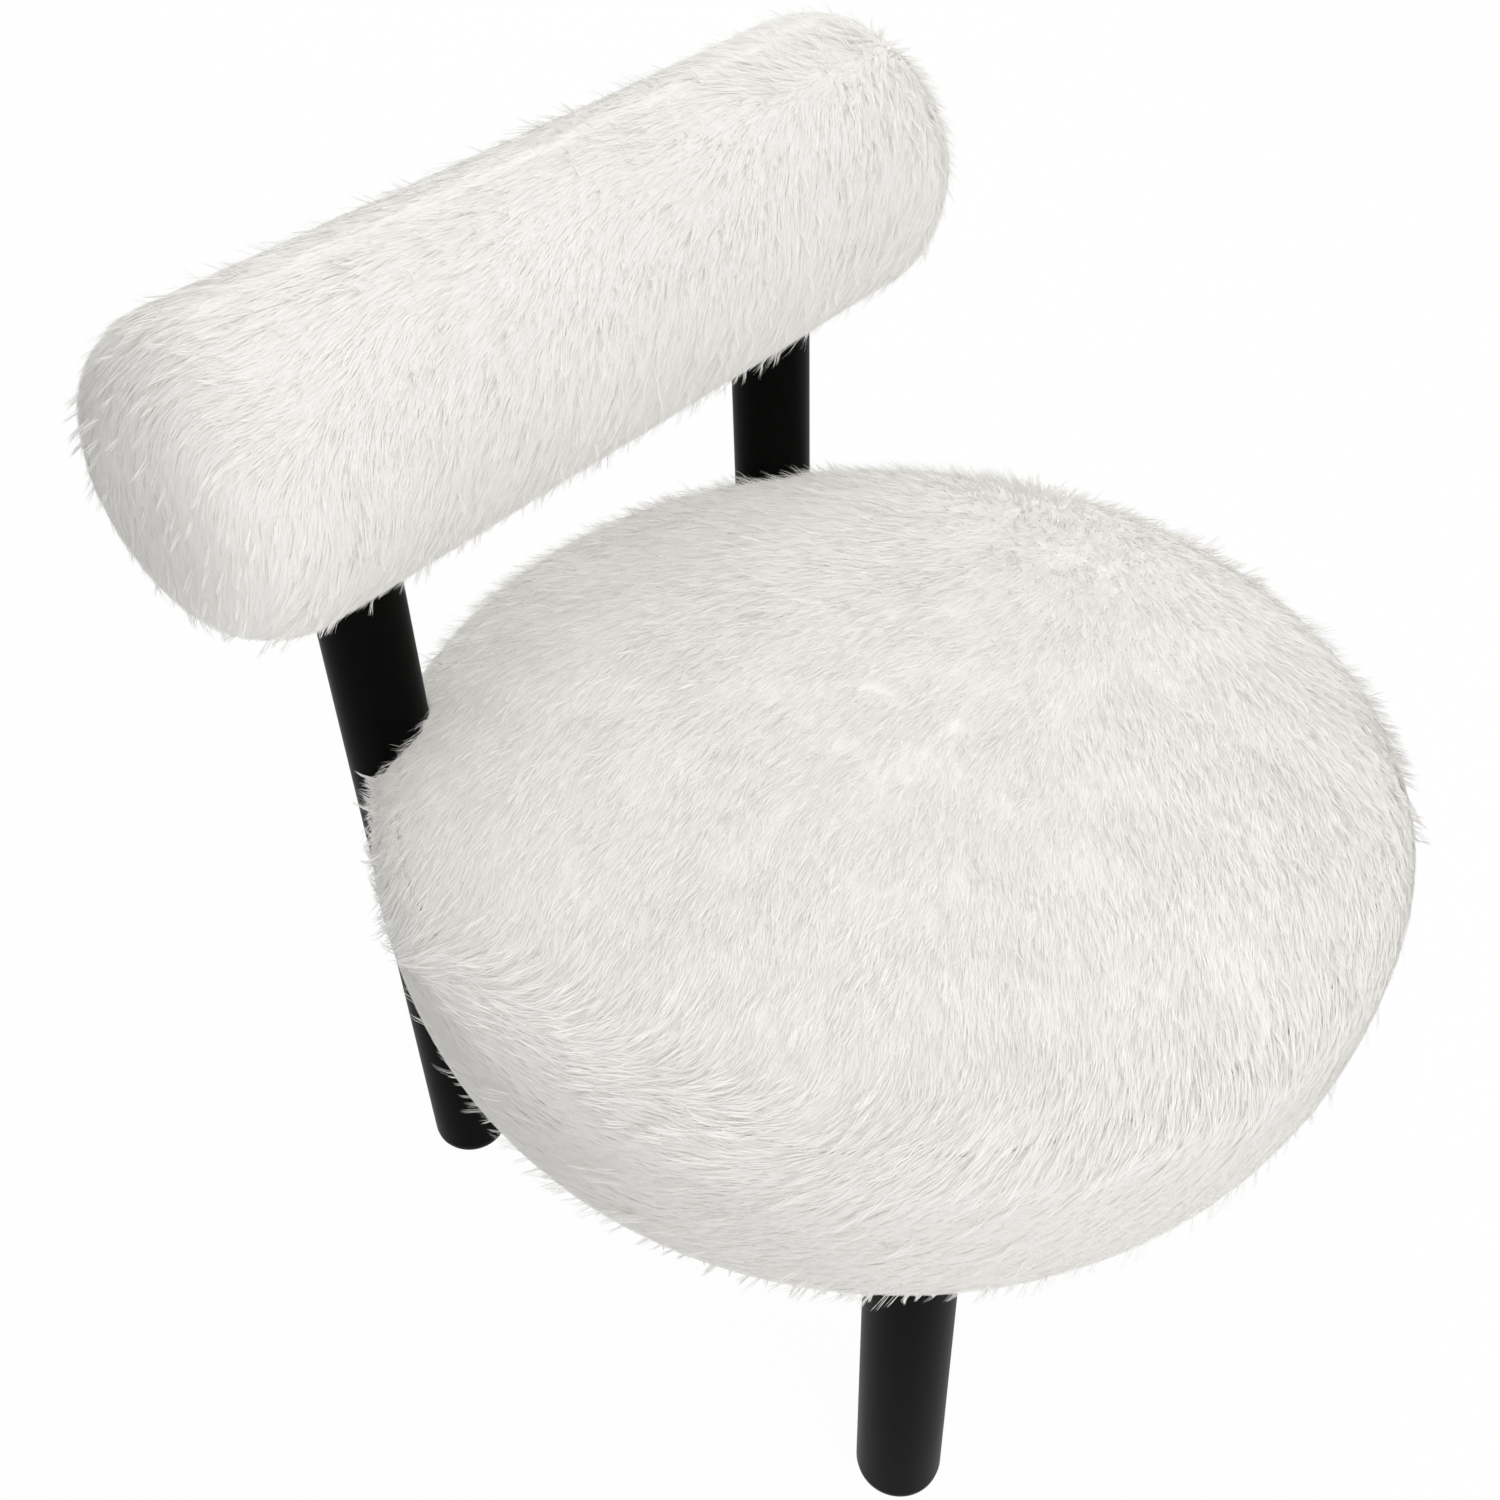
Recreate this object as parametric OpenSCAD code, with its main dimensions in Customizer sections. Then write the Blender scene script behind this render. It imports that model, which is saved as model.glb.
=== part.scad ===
// Round lounge chair: a thick furred seat, a bolster as its back and four straight turned legs.
// Millimetres, +Z up, front towards -Y. The origin is on the floor, under the middle of the chair.
// Left and right are as seen from the front. Furred covers reach to the pile's tips, but the pile isn't drawn.

/* [Seat] */
// Radius of the seat over its fur, at the widest line
seat_r = 315; // [300:1:340]
// Height of the seat's crown over the floor
seat_top_z = 462; // [452:1:490]
// Height of the widest line over the floor
seat_widest_z = 390; // [382:1:400]
// Height of the fur's lower edge over the floor
seat_low_z = 270; // [262:1:276]
// How far the side draws in between its widest line and its lower edge
seat_tuck = 43; // [34:1:48]
// Height of the seam between the crown and the side band
seat_seam_z = 418; // [408:1:430]

/* [Legs] */
// Diameter of the legs and rear posts
leg_d = 55; // [50:1:60]
// Distance from the bolster's ends in to the middle of each leg
leg_end_inset = 116; // [110:1:130]
// How deep the rear posts bite into the seat's widest line
post_bite = 34; // [30:1:42]
// Distance from the base board's edge to the middle of the front legs
front_leg_inset = 19.5; // [18:0.5:34]
// Radius of the rounded foot
foot_round = 12; // [8:1:16]
// Thickness of the glides under the feet
glide_t = 3; // [2:0.5:5]
// Diameter of the glides
glide_d = 26; // [20:1:28]

/* [Bolster] */
// Diameter of the bolster over its fur
bolster_d = 190; // [180:1:205]
// Length of the bolster over its fur
bolster_l = 600; // [580:1:630]
// Height of the bolster's middle over the floor
bolster_z = 636; // [615:1:660]
// Depth of the rounded ends
bolster_end_h = 60; // [50:1:66]
// Distance from the bolster's ends to the seams of its end caps
bolster_seam_inset = 32; // [26:1:44]
// Outer diameter of the bolster's core tube
tube_d = 100; // [96:1:106]
// Wall of the core tube
tube_wall = 5; // [4:0.5:6]
// Length of each socket plug inside the tube
socket_l = 80; // [72:1:84]
// Height of the post's end above the bolster's middle
post_rise = 30; // [20:1:32]
// Thickness of the discs in the tube's ends
end_disc_t = 12; // [9:1:15]

/* [Padding] */
// Thickness of the furred cover, with its pile
cover_t = 20; // [17:0.5:23]
// Thickness of the wadding under the cover
wadding_t = 5; // [3:0.5:7]
// Thickness of the fur that shows under the base board
hem_fur_t = 15; // [12:1:18]
// Thickness of the cover's backing where it is stapled
hem_t = 1.5; // [1:0.1:2]
// Width of the hem that the dust cover overlaps
hem_lap = 18; // [14:1:24]
// Thickness of the dust cover
dust_t = 0.8; // [0.5:0.1:1.2]
// Distance from the base board's edge to the dust cover's edge
dust_inset = 30; // [26:1:36]

/* [Seat frame] */
// Distance from the widest fur in to the base board's edge
board_inset = 47; // [45:1:52]
// Thickness of the base board
board_t = 18; // [15:1:21]
// Height of the struts between base board and top ring
strut_h = 58; // [52:1:60]
// Width of the struts, round the ring
strut_w = 52; // [48:1:60]
// Depth of the struts, towards the middle
strut_d = 36; // [32:1:44]
// Thickness of the top ring
ring_t = 15; // [12:1:16]
// Width of the top ring
ring_w = 60; // [55:1:66]
// Thickness of the bent rim band
rim_t = 3; // [2:0.5:4]
// Width of the post blocks
block_w = 64; // [60:1:72]
// Width of the post blocks' noses
nose_w = 44; // [40:1:50]
// Length of the post blocks inside the top ring's outer edge
block_l = 52; // [48:1:58]
// How far the saddle wraps back from the post's nearest line
saddle_wrap = 7.5; // [5:0.5:10]

/* [Webbing] */
// Straps in each direction
strap_n = 5; // [3:2:5]
// Width of the straps
strap_w = 50; // [44:1:51]
// Thickness of the straps
strap_t = 1.8; // [1.2:0.1:2.4]
// Distance between neighbouring straps' middles
strap_pitch = 62; // [60:1:64]
// Distance from the ring's outer edge to the straps' ends
strap_inset = 6; // [4:1:8]

/* [Fasteners] */
// Diameter of the post bolts and hanger bolts
bolt_d = 8; // [6:1:8]
// Distance between the two bolts of a post
bolt_spacing = 30; // [26:1:34]
// Across the flats of the bolt heads
bolt_head_w = 13; // [12:0.5:13]
// Height of the bolt heads
bolt_head_h = 5.3; // [4:0.1:5.5]
// Diameter of the post bolts' washers
washer_d = 16; // [15:1:18]
// Thickness of the washers
washer_t = 1.6; // [1.2:0.1:2]
// Diameter of the threaded inserts
insert_d = 12; // [11:0.5:13]
// Length of the threaded inserts
insert_l = 13; // [11:1:15]
// Depth of the hanger bolts in the legs
hanger_depth = 40; // [30:1:50]
// How far the hanger bolts stand above the base board
hanger_rise = 4; // [3:1:6]
// Diameter of the tee nuts' flanges
tee_flange_d = 19; // [16:1:21]
// Thickness of the tee nuts' flanges
tee_flange_t = 1.5; // [1.2:0.1:2]
// Diameter of the tee nuts' barrels
tee_barrel_d = 10; // [9.6:0.2:11]
// Length of the tee nuts' barrels
tee_barrel_l = 11; // [9:1:13]
// Diameter of the frame screws
screw_d = 4; // [3.5:0.5:4.5]
// Depth of the frame screws in the struts and blocks
screw_bite = 20; // [16:1:24]
// Diameter of the bolster's lock screws
lock_d = 7; // [6:0.5:7]
// Length of the bolster's lock screws
lock_l = 70; // [66:1:74]
// Width of a staple's crown
staple_w = 11; // [9:1:12]
// Thickness of a staple's wire
staple_wire = 1; // [0.8:0.1:1.2]
// Length of a staple's legs
staple_leg = 8; // [7:1:10]
// Staples round the hem
hem_staple_n = 24; // [16:2:28]

/* [Hidden] */
$fn = 96;

// Clearances: between soft layers, in wood joints and round fasteners, and past a cut's faces
soft_gap = 0.3;
fit_gap = 0.2;
thread_gap = 0.1;
overrun = 1;

// Steps along the curved parts of an outline
side_steps = 9;
crown_steps = 12;
foot_steps = 5;

// How square the seat's crown and the bolster's ends are: 2 is an ellipse, more is squarer
seat_side_power = 3;
seat_crown_power = 2.2;
end_side_power = 3;
end_crown_power = 2;

// Radii and heights that several pieces share
leg_r = leg_d / 2;
bolster_r = bolster_d / 2;
tube_r = tube_d / 2;
tube_bore_r = tube_r - tube_wall;
tube_half = bolster_l / 2 - bolster_end_h;
leg_x = bolster_l / 2 - leg_end_inset;
seat_side_h = seat_widest_z - seat_low_z;
board_r = seat_r - board_inset;
board_low_z = seat_low_z + hem_fur_t;
board_top_z = board_low_z + board_t;
ring_low_z = board_top_z + strut_h;
ring_top_z = ring_low_z + ring_t;
rim_setback = 1;
rim_r = board_r - rim_setback;
ring_r = rim_r - rim_t;
ring_bore_r = ring_r - ring_w;
webbing_top_z = ring_top_z + 2 * strap_t + thread_gap;
foam_low_z = webbing_top_z + soft_gap;
wadding_inset = cover_t + soft_gap;
foam_inset = wadding_inset + wadding_t + soft_gap;
dust_r = board_r - dust_inset;
hem_in_r = dust_r - hem_lap;

// Where the legs stand, measured from the seat's middle
post_reach = seat_r - post_bite + leg_r;
post_dy = sqrt(pow(post_reach, 2) - pow(leg_x, 2));
post_angle = atan2(post_dy, leg_x);
front_reach = board_r - front_leg_inset;
front_dy = -sqrt(pow(front_reach, 2) - pow(leg_x, 2));
post_top_z = bolster_z + post_rise;
post_face_r = post_reach - leg_r;

// The seat's middle lies so that the chair's depth is centred on the origin
seat_y = (seat_r - post_dy - bolster_r) / 2;
post_y = seat_y + post_dy;
front_y = seat_y + front_dy;

// Struts round the frame, and the screws that hold struts and blocks
front_leg_turn = asin(leg_x / front_reach);
front_strut_share = 0.52;
strut_angles = [
    0, 90, 180,
    270 - front_strut_share * front_leg_turn, 270 + front_strut_share * front_leg_turn
];
screw_inset = 24;
screw_reach = ring_r - screw_inset;
strut_screw_gap = strut_w * 0.7;
block_screw_gap = block_w * 0.62;
screw_head_share = 2;
screw_head_h = screw_d * 0.6;

// Post blocks, their bolts and the inserts in the posts
block_in_r = ring_r - block_l;
nose_end_r = post_face_r + saddle_wrap;
bolt_zs = [for (s = [-1, 1]) (board_top_z + ring_low_z) / 2 + s * bolt_spacing / 2];
insert_sink = 1;
insert_start_r = post_face_r + insert_sink;
insert_end_r = insert_start_r + insert_l;
insert_bore_end_r = insert_end_r + insert_sink;
bolt_end_r = insert_end_r - insert_sink;
washer_hole_gap = 0.4;

// Glide pins
pin_d = 3;
pin_l = 14;
edge_ease = 1.5;

// Webbing: its weave and its staples
weave_margin = 1;
weave_ramp = 10;
strap_high = strap_t + thread_gap;
strap_staple_inset = 8;
strap_staple_gap = strap_w / 2;
strap_places = [for (i = [0:strap_n - 1]) (i - (strap_n - 1) / 2) * strap_pitch];
strap_reach = ring_r - strap_inset;

// Hem staples keep this far from the front legs
hem_staple_r = (dust_r + hem_in_r) / 2;
hem_staple_keep = staple_w / 2 + 2 * staple_wire;
hem_staple_angles = [
    for (i = [0:hem_staple_n - 1])
        let (
            a = (i + 0.5) * 360 / hem_staple_n,
            p = [abs(hem_staple_r * cos(a)), hem_staple_r * sin(a)]
        )
            if (norm(p - [leg_x, front_dy]) > leg_r + hem_staple_keep) a
];

// Lock screws
lock_head_share = 1.7;
lock_head_h = lock_d * 0.5;
lock_sink = 0.6;

// Colours
black_lacquer = [0.07, 0.07, 0.068];
off_white = [0.9, 0.89, 0.87];
plywood = [0.8, 0.68, 0.5];
beech = [0.76, 0.58, 0.4];
zinc = [0.72, 0.73, 0.75];
brass_tone = [0.78, 0.63, 0.32];
foam_tone = [0.95, 0.9, 0.72];
wadding_tone = [0.96, 0.96, 0.96];
webbing_tone = [0.25, 0.24, 0.22];
nylon_tone = [0.2, 0.2, 0.2];
cloth_black = [0.1, 0.1, 0.1];
board_grey = [0.62, 0.55, 0.45];

// A list turned back to front
function reversed(list) = [for (i = [len(list) - 1:-1:0]) list[i]];

// A quarter of a rounded crown, from its rim at radius r to its middle at height h
function crown_points(r, h, side_power, crown_power) = [
    for (i = [0:crown_steps])
        let (t = 90 * i / crown_steps)
            [r * pow(cos(t), 2 / side_power), h * pow(sin(t), 2 / crown_power)]
];

// The seat's half outline at an inset, from the height low_z up to the middle of the crown
function seat_outline(inset, low_z) =
    let (
        r = seat_r - inset,
        low_angle = asin((seat_widest_z - low_z) / seat_side_h),
        crown = crown_points(r, seat_top_z - inset - seat_widest_z, seat_side_power, seat_crown_power)
    )
    concat(
        [for (i = [0:side_steps]) let (t = low_angle * (1 - i / side_steps))
            [r - seat_tuck * (1 - cos(t)), seat_widest_z - seat_side_h * sin(t)]],
        [for (i = [1:crown_steps]) crown[i] + [0, seat_widest_z]]
    );

// The bolster's half outline at an inset, as radius and place along its axis, end to end
function bolster_outline(inset) =
    let (
        end = crown_points(bolster_r - inset, bolster_end_h - inset, end_side_power, end_crown_power),
        cap = [for (p = end) p + [0, tube_half]]
    )
    concat(reversed([for (p = cap) [p[0], -p[1]]]), cap);

// Half section of a seat layer between two insets
module seat_layer(outer_inset, inner_inset, low_z) {
    rotate_extrude()
        polygon(concat(seat_outline(outer_inset, low_z), reversed(seat_outline(inner_inset, low_z))));
}

// Half section of the seat's whole cover, with the hem that turns in under the base board
module seat_cover_section() {
    polygon(concat(
        seat_outline(0, seat_low_z),
        reversed(seat_outline(cover_t, board_top_z)),
        [
            [board_r + soft_gap, board_top_z], [board_r + soft_gap, board_low_z],
            [hem_in_r, board_low_z], [hem_in_r, board_low_z - hem_t],
            [dust_r + soft_gap, board_low_z - hem_t], [dust_r + soft_gap, seat_low_z]
        ]
    ));
}

// Half section of a bolster layer between two insets
module bolster_section(outer_inset, inner_inset) {
    polygon(concat(bolster_outline(outer_inset), reversed(bolster_outline(inner_inset))));
}

// Places
module at_seat() { translate([0, seat_y, 0]) children(); }
module at_front_leg(side) { translate([side * leg_x, front_y, 0]) children(); }
module at_post(side) { translate([side * leg_x, post_y, 0]) children(); }

// X runs from the seat's middle out through the post
module toward_post(side) { at_seat() rotate(side > 0 ? post_angle : 180 - post_angle) children(); }

// Round the bolster's own axis, which runs along X
module turn_bolster() {
    translate([0, post_y, bolster_z]) rotate([0, 90, 0]) rotate_extrude() children();
}

// A rod along X from one radius to another
module radial_rod(from_r, to_r, r) {
    translate([from_r, 0, 0]) rotate([0, 90, 0]) cylinder(h = to_r - from_r, r = r);
}

// The room that both rear posts take, from the floor to the bolster's middle
module post_room(gap) {
    for (side = [-1, 1]) at_post(side) translate([0, 0, -overrun])
        cylinder(h = bolster_z + overrun, r = leg_r + gap);
}

// The room that both front legs take, up to the base board
module front_leg_room(gap) {
    for (side = [-1, 1]) at_front_leg(side) cylinder(h = board_low_z, r = leg_r + gap);
}

module clear_of_posts() {
    difference() {
        children();
        post_room(soft_gap);
    }
}

// A turned leg with a rounded foot, from the glide up to a height
module turned_leg(top_z) {
    foot = [for (i = [0:foot_steps]) let (t = 90 * i / foot_steps)
        [leg_r - foot_round * (1 - sin(t)), glide_t + foot_round * (1 - cos(t))]];
    top = [[leg_r, top_z - edge_ease], [leg_r - edge_ease, top_z], [0, top_z]];
    difference() {
        rotate_extrude() polygon(concat([[0, glide_t]], foot, top));
        cylinder(h = glide_t + pin_l + fit_gap, r = pin_d / 2 + thread_gap);
    }
}

module front_leg(side) {
    color(black_lacquer)
    at_front_leg(side)
    difference() {
        turned_leg(board_low_z);
        translate([0, 0, board_low_z - hanger_depth - fit_gap])
            cylinder(h = hanger_depth + fit_gap + overrun, r = bolt_d / 2 + thread_gap);
    }
}

module front_leg_left() { front_leg(-1); }
module front_leg_right() { front_leg(1); }

module rear_post(side) {
    color(black_lacquer)
    difference() {
        at_post(side) turned_leg(post_top_z);
        toward_post(side) for (z = bolt_zs) translate([0, 0, z])
            radial_rod(post_face_r - overrun, insert_bore_end_r, insert_d / 2 + thread_gap);
        lock_screw(side, thread_gap);
    }
}

module rear_post_left() { rear_post(-1); }
module rear_post_right() { rear_post(1); }

module foot_glide() {
    cylinder(h = glide_t, r = glide_d / 2);
    cylinder(h = glide_t + pin_l, r = pin_d / 2);
}

module foot_glides() {
    color(nylon_tone) for (side = [-1, 1]) {
        at_front_leg(side) foot_glide();
        at_post(side) foot_glide();
    }
}

module leg_hanger_bolts() {
    color(zinc) for (side = [-1, 1]) at_front_leg(side) translate([0, 0, board_low_z - hanger_depth])
        cylinder(h = hanger_depth + board_t + tee_flange_t + hanger_rise, r = bolt_d / 2);
}

// Flange on the board and barrel in it, without the bore
module tee_nut_body() {
    translate([0, 0, board_top_z]) cylinder(h = tee_flange_t, r = tee_flange_d / 2);
    translate([0, 0, board_top_z - tee_barrel_l])
        cylinder(h = tee_barrel_l + tee_flange_t / 2, r = tee_barrel_d / 2);
}

module leg_tee_nuts() {
    color(zinc) for (side = [-1, 1]) at_front_leg(side) difference() {
        tee_nut_body();
        translate([0, 0, board_low_z])
            cylinder(h = board_t + tee_flange_t + overrun, r = bolt_d / 2 + thread_gap);
    }
}

// A countersunk wood screw with its head at the origin and its point downwards
module wood_screw(d, l, head_share, head_h, gap) {
    point_h = 2 * d;
    translate([0, 0, -head_h]) cylinder(h = head_h, r1 = d / 2 + gap, r2 = head_share * d / 2 + gap);
    translate([0, 0, -l + point_h]) cylinder(h = l - point_h - head_h / 2, r = d / 2 + gap);
    translate([0, 0, -l - gap]) cylinder(h = point_h + gap, r1 = d / 8 + gap, r2 = d / 2 + gap);
}

// All frame screws, from under the board and from the ring's top
module frame_screw_set(gap) {
    spots = concat(
        [for (a = strut_angles, s = [-1, 1]) [a, s * strut_screw_gap / 2]],
        [for (a = [post_angle, 180 - post_angle], s = [-1, 1]) [a, s * block_screw_gap / 2]]
    );
    at_seat() for (spot = spots) rotate(spot[0]) translate([screw_reach, spot[1], 0]) {
        translate([0, 0, ring_top_z])
            wood_screw(screw_d, ring_t + screw_bite, screw_head_share, screw_head_h, gap);
        translate([0, 0, board_low_z]) mirror([0, 0, 1])
            wood_screw(screw_d, board_t + screw_bite, screw_head_share, screw_head_h, gap);
    }
}

module frame_screws() { color(zinc) frame_screw_set(0); }

module base_board() {
    color(plywood)
    difference() {
        clear_of_posts() at_seat() translate([0, 0, board_low_z]) cylinder(h = board_t, r = board_r);
        for (side = [-1, 1]) at_front_leg(side) {
            translate([0, 0, board_low_z - overrun])
                cylinder(h = board_t + 2 * overrun, r = bolt_d / 2 + fit_gap);
            translate([0, 0, board_top_z - tee_barrel_l - thread_gap])
                cylinder(h = tee_barrel_l + thread_gap + overrun, r = tee_barrel_d / 2 + thread_gap);
        }
        frame_screw_set(thread_gap);
        hem_staple_set(thread_gap);
    }
}

module frame_struts() {
    color(beech)
    difference() {
        at_seat() for (a = strut_angles) rotate(a) translate([0, 0, board_top_z]) linear_extrude(strut_h)
            intersection() {
                circle(r = ring_r - fit_gap);
                translate([ring_r - strut_d, -strut_w / 2]) square([strut_d, strut_w]);
            }
        frame_screw_set(thread_gap);
    }
}

// The outer form of a post block, from inside the ring to the saddle
module block_body(gap) {
    half = block_w / 2 + gap;
    nose_half = nose_w / 2 + gap;
    translate([0, 0, board_top_z - gap]) linear_extrude(strut_h + 2 * gap) polygon([
        [block_in_r - gap, -half], [ring_r - screw_inset / 2, -half], [nose_end_r + gap, -nose_half],
        [nose_end_r + gap, nose_half], [ring_r - screw_inset / 2, half], [block_in_r - gap, half]
    ]);
}

module both_blocks(gap) { for (side = [-1, 1]) toward_post(side) block_body(gap); }

module post_block(side) {
    color(beech)
    difference() {
        toward_post(side) block_body(0);
        at_post(side) cylinder(h = bolster_z, r = leg_r + fit_gap);
        toward_post(side) for (z = bolt_zs) translate([0, 0, z])
            radial_rod(block_in_r - overrun, post_reach, bolt_d / 2 + fit_gap);
        frame_screw_set(thread_gap);
    }
}

module post_block_left() { post_block(-1); }
module post_block_right() { post_block(1); }

module top_ring() {
    color(plywood)
    difference() {
        clear_of_posts() at_seat() translate([0, 0, ring_low_z]) linear_extrude(ring_t) difference() {
            circle(r = ring_r);
            circle(r = ring_bore_r);
        }
        frame_screw_set(thread_gap);
        webbing_staple_set(thread_gap);
    }
}

module rim_band() {
    color(plywood)
    difference() {
        clear_of_posts() at_seat() translate([0, 0, board_top_z])
            linear_extrude(ring_top_z - board_top_z) difference() {
                circle(r = rim_r);
                circle(r = ring_r);
            }
        both_blocks(fit_gap);
    }
}

// Half length of the strap whose middle lies at a place across the ring
function strap_half(place) = sqrt(pow(strap_reach, 2) - pow(abs(place) + strap_w / 2, 2));

// The strap's centre line: high where it crosses over, low where it crosses under and on the ring
function strap_line(index, phase) =
    let (
        low = strap_t / 2,
        flat = strap_w / 2 + weave_margin,
        last = strap_places[strap_n - 1] + flat + weave_ramp,
        reach = strap_half(strap_places[index])
    )
    concat(
        [[-reach, low], [-last, low]],
        [for (j = [0:strap_n - 1], s = [-1, 1])
            [strap_places[j] + s * flat, (index + j + phase) % 2 == 0 ? low + strap_high : low]],
        [[last, low], [reach, low]]
    );

// One direction's straps, which run along X before they are turned
module strap_set(phase) {
    for (i = [0:strap_n - 1]) {
        line = strap_line(i, phase);
        translate([0, strap_places[i], ring_top_z]) rotate([90, 0, 0])
            linear_extrude(strap_w, center = true) polygon(concat(
                [for (p = line) p - [0, strap_t / 2]],
                reversed([for (p = line) p + [0, strap_t / 2]])
            ));
    }
}

module webbing_side_to_side() {
    color(webbing_tone)
    difference() {
        at_seat() strap_set(0);
        webbing_staple_set(thread_gap);
    }
}

module webbing_front_to_back() {
    color(webbing_tone)
    difference() {
        at_seat() rotate(90) strap_set(1);
        webbing_staple_set(thread_gap);
    }
}

// A staple with its crown on the face at z = 0 and its legs downwards, across Y
module staple(gap) {
    wire = staple_wire + 2 * gap;
    leg_h = staple_leg + gap + staple_wire / 2;
    translate([-wire / 2, -staple_w / 2 - gap, 0]) cube([wire, staple_w + 2 * gap, staple_wire]);
    for (s = [-1, 1]) translate([-wire / 2, s * (staple_w - staple_wire) / 2 - wire / 2, -staple_leg - gap])
        cube([wire, wire, leg_h]);
}

module webbing_staple_set(gap) {
    at_seat() for (turn = [0, 90], i = [0:strap_n - 1], end = [-1, 1], s = [-1, 1]) {
        along = end * (strap_half(strap_places[i]) - strap_staple_inset);
        across = strap_places[i] + s * strap_staple_gap / 2;
        rotate(turn) translate([along, across, ring_top_z + strap_t]) staple(gap);
    }
}

module webbing_staples() { color(zinc) webbing_staple_set(0); }

// Hem staples go up through dust cover and hem into the base board
module hem_staple_set(gap) {
    at_seat() for (a = hem_staple_angles) rotate(a)
        translate([hem_staple_r, 0, board_low_z - hem_t - dust_t]) mirror([0, 0, 1]) staple(gap);
}

module hem_staples() { color(zinc) hem_staple_set(0); }

module post_bolts() {
    color(zinc) for (side = [-1, 1]) toward_post(side) for (z = bolt_zs) translate([0, 0, z]) {
        radial_rod(block_in_r - washer_t - bolt_head_h / 2, bolt_end_r, bolt_d / 2);
        translate([block_in_r - washer_t - bolt_head_h, 0, 0]) rotate([0, 90, 0])
            cylinder(h = bolt_head_h, r = bolt_head_w / 2 / cos(30), $fn = 6);
    }
}

module post_bolt_washers() {
    color(zinc)
    for (side = [-1, 1]) toward_post(side) for (z = bolt_zs) translate([0, 0, z]) difference() {
        radial_rod(block_in_r - washer_t, block_in_r, washer_d / 2);
        radial_rod(block_in_r - washer_t - overrun, block_in_r + overrun, bolt_d / 2 + washer_hole_gap);
    }
}

module post_inserts() {
    color(brass_tone)
    for (side = [-1, 1]) toward_post(side) for (z = bolt_zs) translate([0, 0, z]) difference() {
        radial_rod(insert_start_r, insert_end_r, insert_d / 2);
        radial_rod(insert_start_r - overrun, insert_end_r + overrun, bolt_d / 2 + thread_gap);
    }
}

module seat_foam() {
    color(foam_tone) clear_of_posts() at_seat() rotate_extrude()
        polygon(concat([[0, foam_low_z]], seat_outline(foam_inset, foam_low_z)));
}

module side_foam() {
    color(foam_tone)
    difference() {
        clear_of_posts() at_seat() rotate_extrude() difference() {
            polygon(concat([[0, board_top_z]], seat_outline(foam_inset, board_top_z)));
            translate([0, foam_low_z - soft_gap]) square([seat_r, seat_top_z]);
            square([rim_r + soft_gap, seat_top_z]);
        }
        both_blocks(soft_gap);
    }
}

module seat_wadding() {
    color(wadding_tone)
    difference() {
        clear_of_posts() at_seat() seat_layer(wadding_inset, wadding_inset + wadding_t, board_top_z);
        both_blocks(soft_gap);
    }
}

module seat_cover_top() {
    color(off_white) clear_of_posts() at_seat() rotate_extrude() intersection() {
        seat_cover_section();
        translate([0, seat_seam_z]) square([seat_r, seat_top_z]);
    }
}

module seat_cover_band() {
    color(off_white)
    difference() {
        clear_of_posts() at_seat() rotate_extrude() intersection() {
            seat_cover_section();
            square([seat_r + overrun, seat_seam_z]);
        }
        both_blocks(soft_gap);
        front_leg_room(soft_gap);
        hem_staple_set(thread_gap);
    }
}

module dust_cover() {
    color(cloth_black)
    difference() {
        at_seat() translate([0, 0, board_low_z - hem_t - dust_t]) cylinder(h = dust_t, r = dust_r);
        front_leg_room(soft_gap);
        hem_staple_set(thread_gap);
    }
}

module bolster_tube() {
    color(board_grey)
    difference() {
        turn_bolster() translate([tube_bore_r, -tube_half]) square([tube_wall, 2 * tube_half]);
        post_room(soft_gap);
        for (side = [-1, 1]) lock_screw(side, thread_gap);
    }
}

module bolster_socket(side) {
    color(beech)
    difference() {
        turn_bolster() translate([0, side * leg_x - socket_l / 2])
            square([tube_bore_r - fit_gap, socket_l]);
        at_post(side) cylinder(h = post_top_z + fit_gap, r = leg_r + fit_gap);
        lock_screw(side, thread_gap);
    }
}

module bolster_socket_left() { bolster_socket(-1); }
module bolster_socket_right() { bolster_socket(1); }

module bolster_end_disc(side) {
    color(plywood) turn_bolster() translate([0, side * (tube_half - end_disc_t / 2) - end_disc_t / 2])
        square([tube_bore_r - fit_gap, end_disc_t]);
}

module bolster_end_disc_left() { bolster_end_disc(-1); }
module bolster_end_disc_right() { bolster_end_disc(1); }

// Driven from behind, through tube, socket and post
module lock_screw(side, gap) {
    translate([side * leg_x, post_y + tube_r - lock_sink, bolster_z]) rotate([-90, 0, 0])
        wood_screw(lock_d, lock_l, lock_head_share, lock_head_h, gap);
}

module bolster_lock_screws() { color(zinc) for (side = [-1, 1]) lock_screw(side, 0); }

module bolster_foam() {
    color(foam_tone) clear_of_posts() turn_bolster()
        translate([tube_r + soft_gap, -tube_half])
            square([bolster_r - foam_inset - tube_r - soft_gap, 2 * tube_half]);
}

module bolster_end_pad(side) {
    color(foam_tone) turn_bolster() intersection() {
        polygon(bolster_outline(foam_inset));
        translate([0, side > 0 ? tube_half + soft_gap : -tube_half - soft_gap - bolster_l])
            square([bolster_r, bolster_l]);
    }
}

module bolster_end_pad_left() { bolster_end_pad(-1); }
module bolster_end_pad_right() { bolster_end_pad(1); }

module bolster_wadding() {
    color(wadding_tone) clear_of_posts() turn_bolster()
        bolster_section(wadding_inset, wadding_inset + wadding_t);
}

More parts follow.
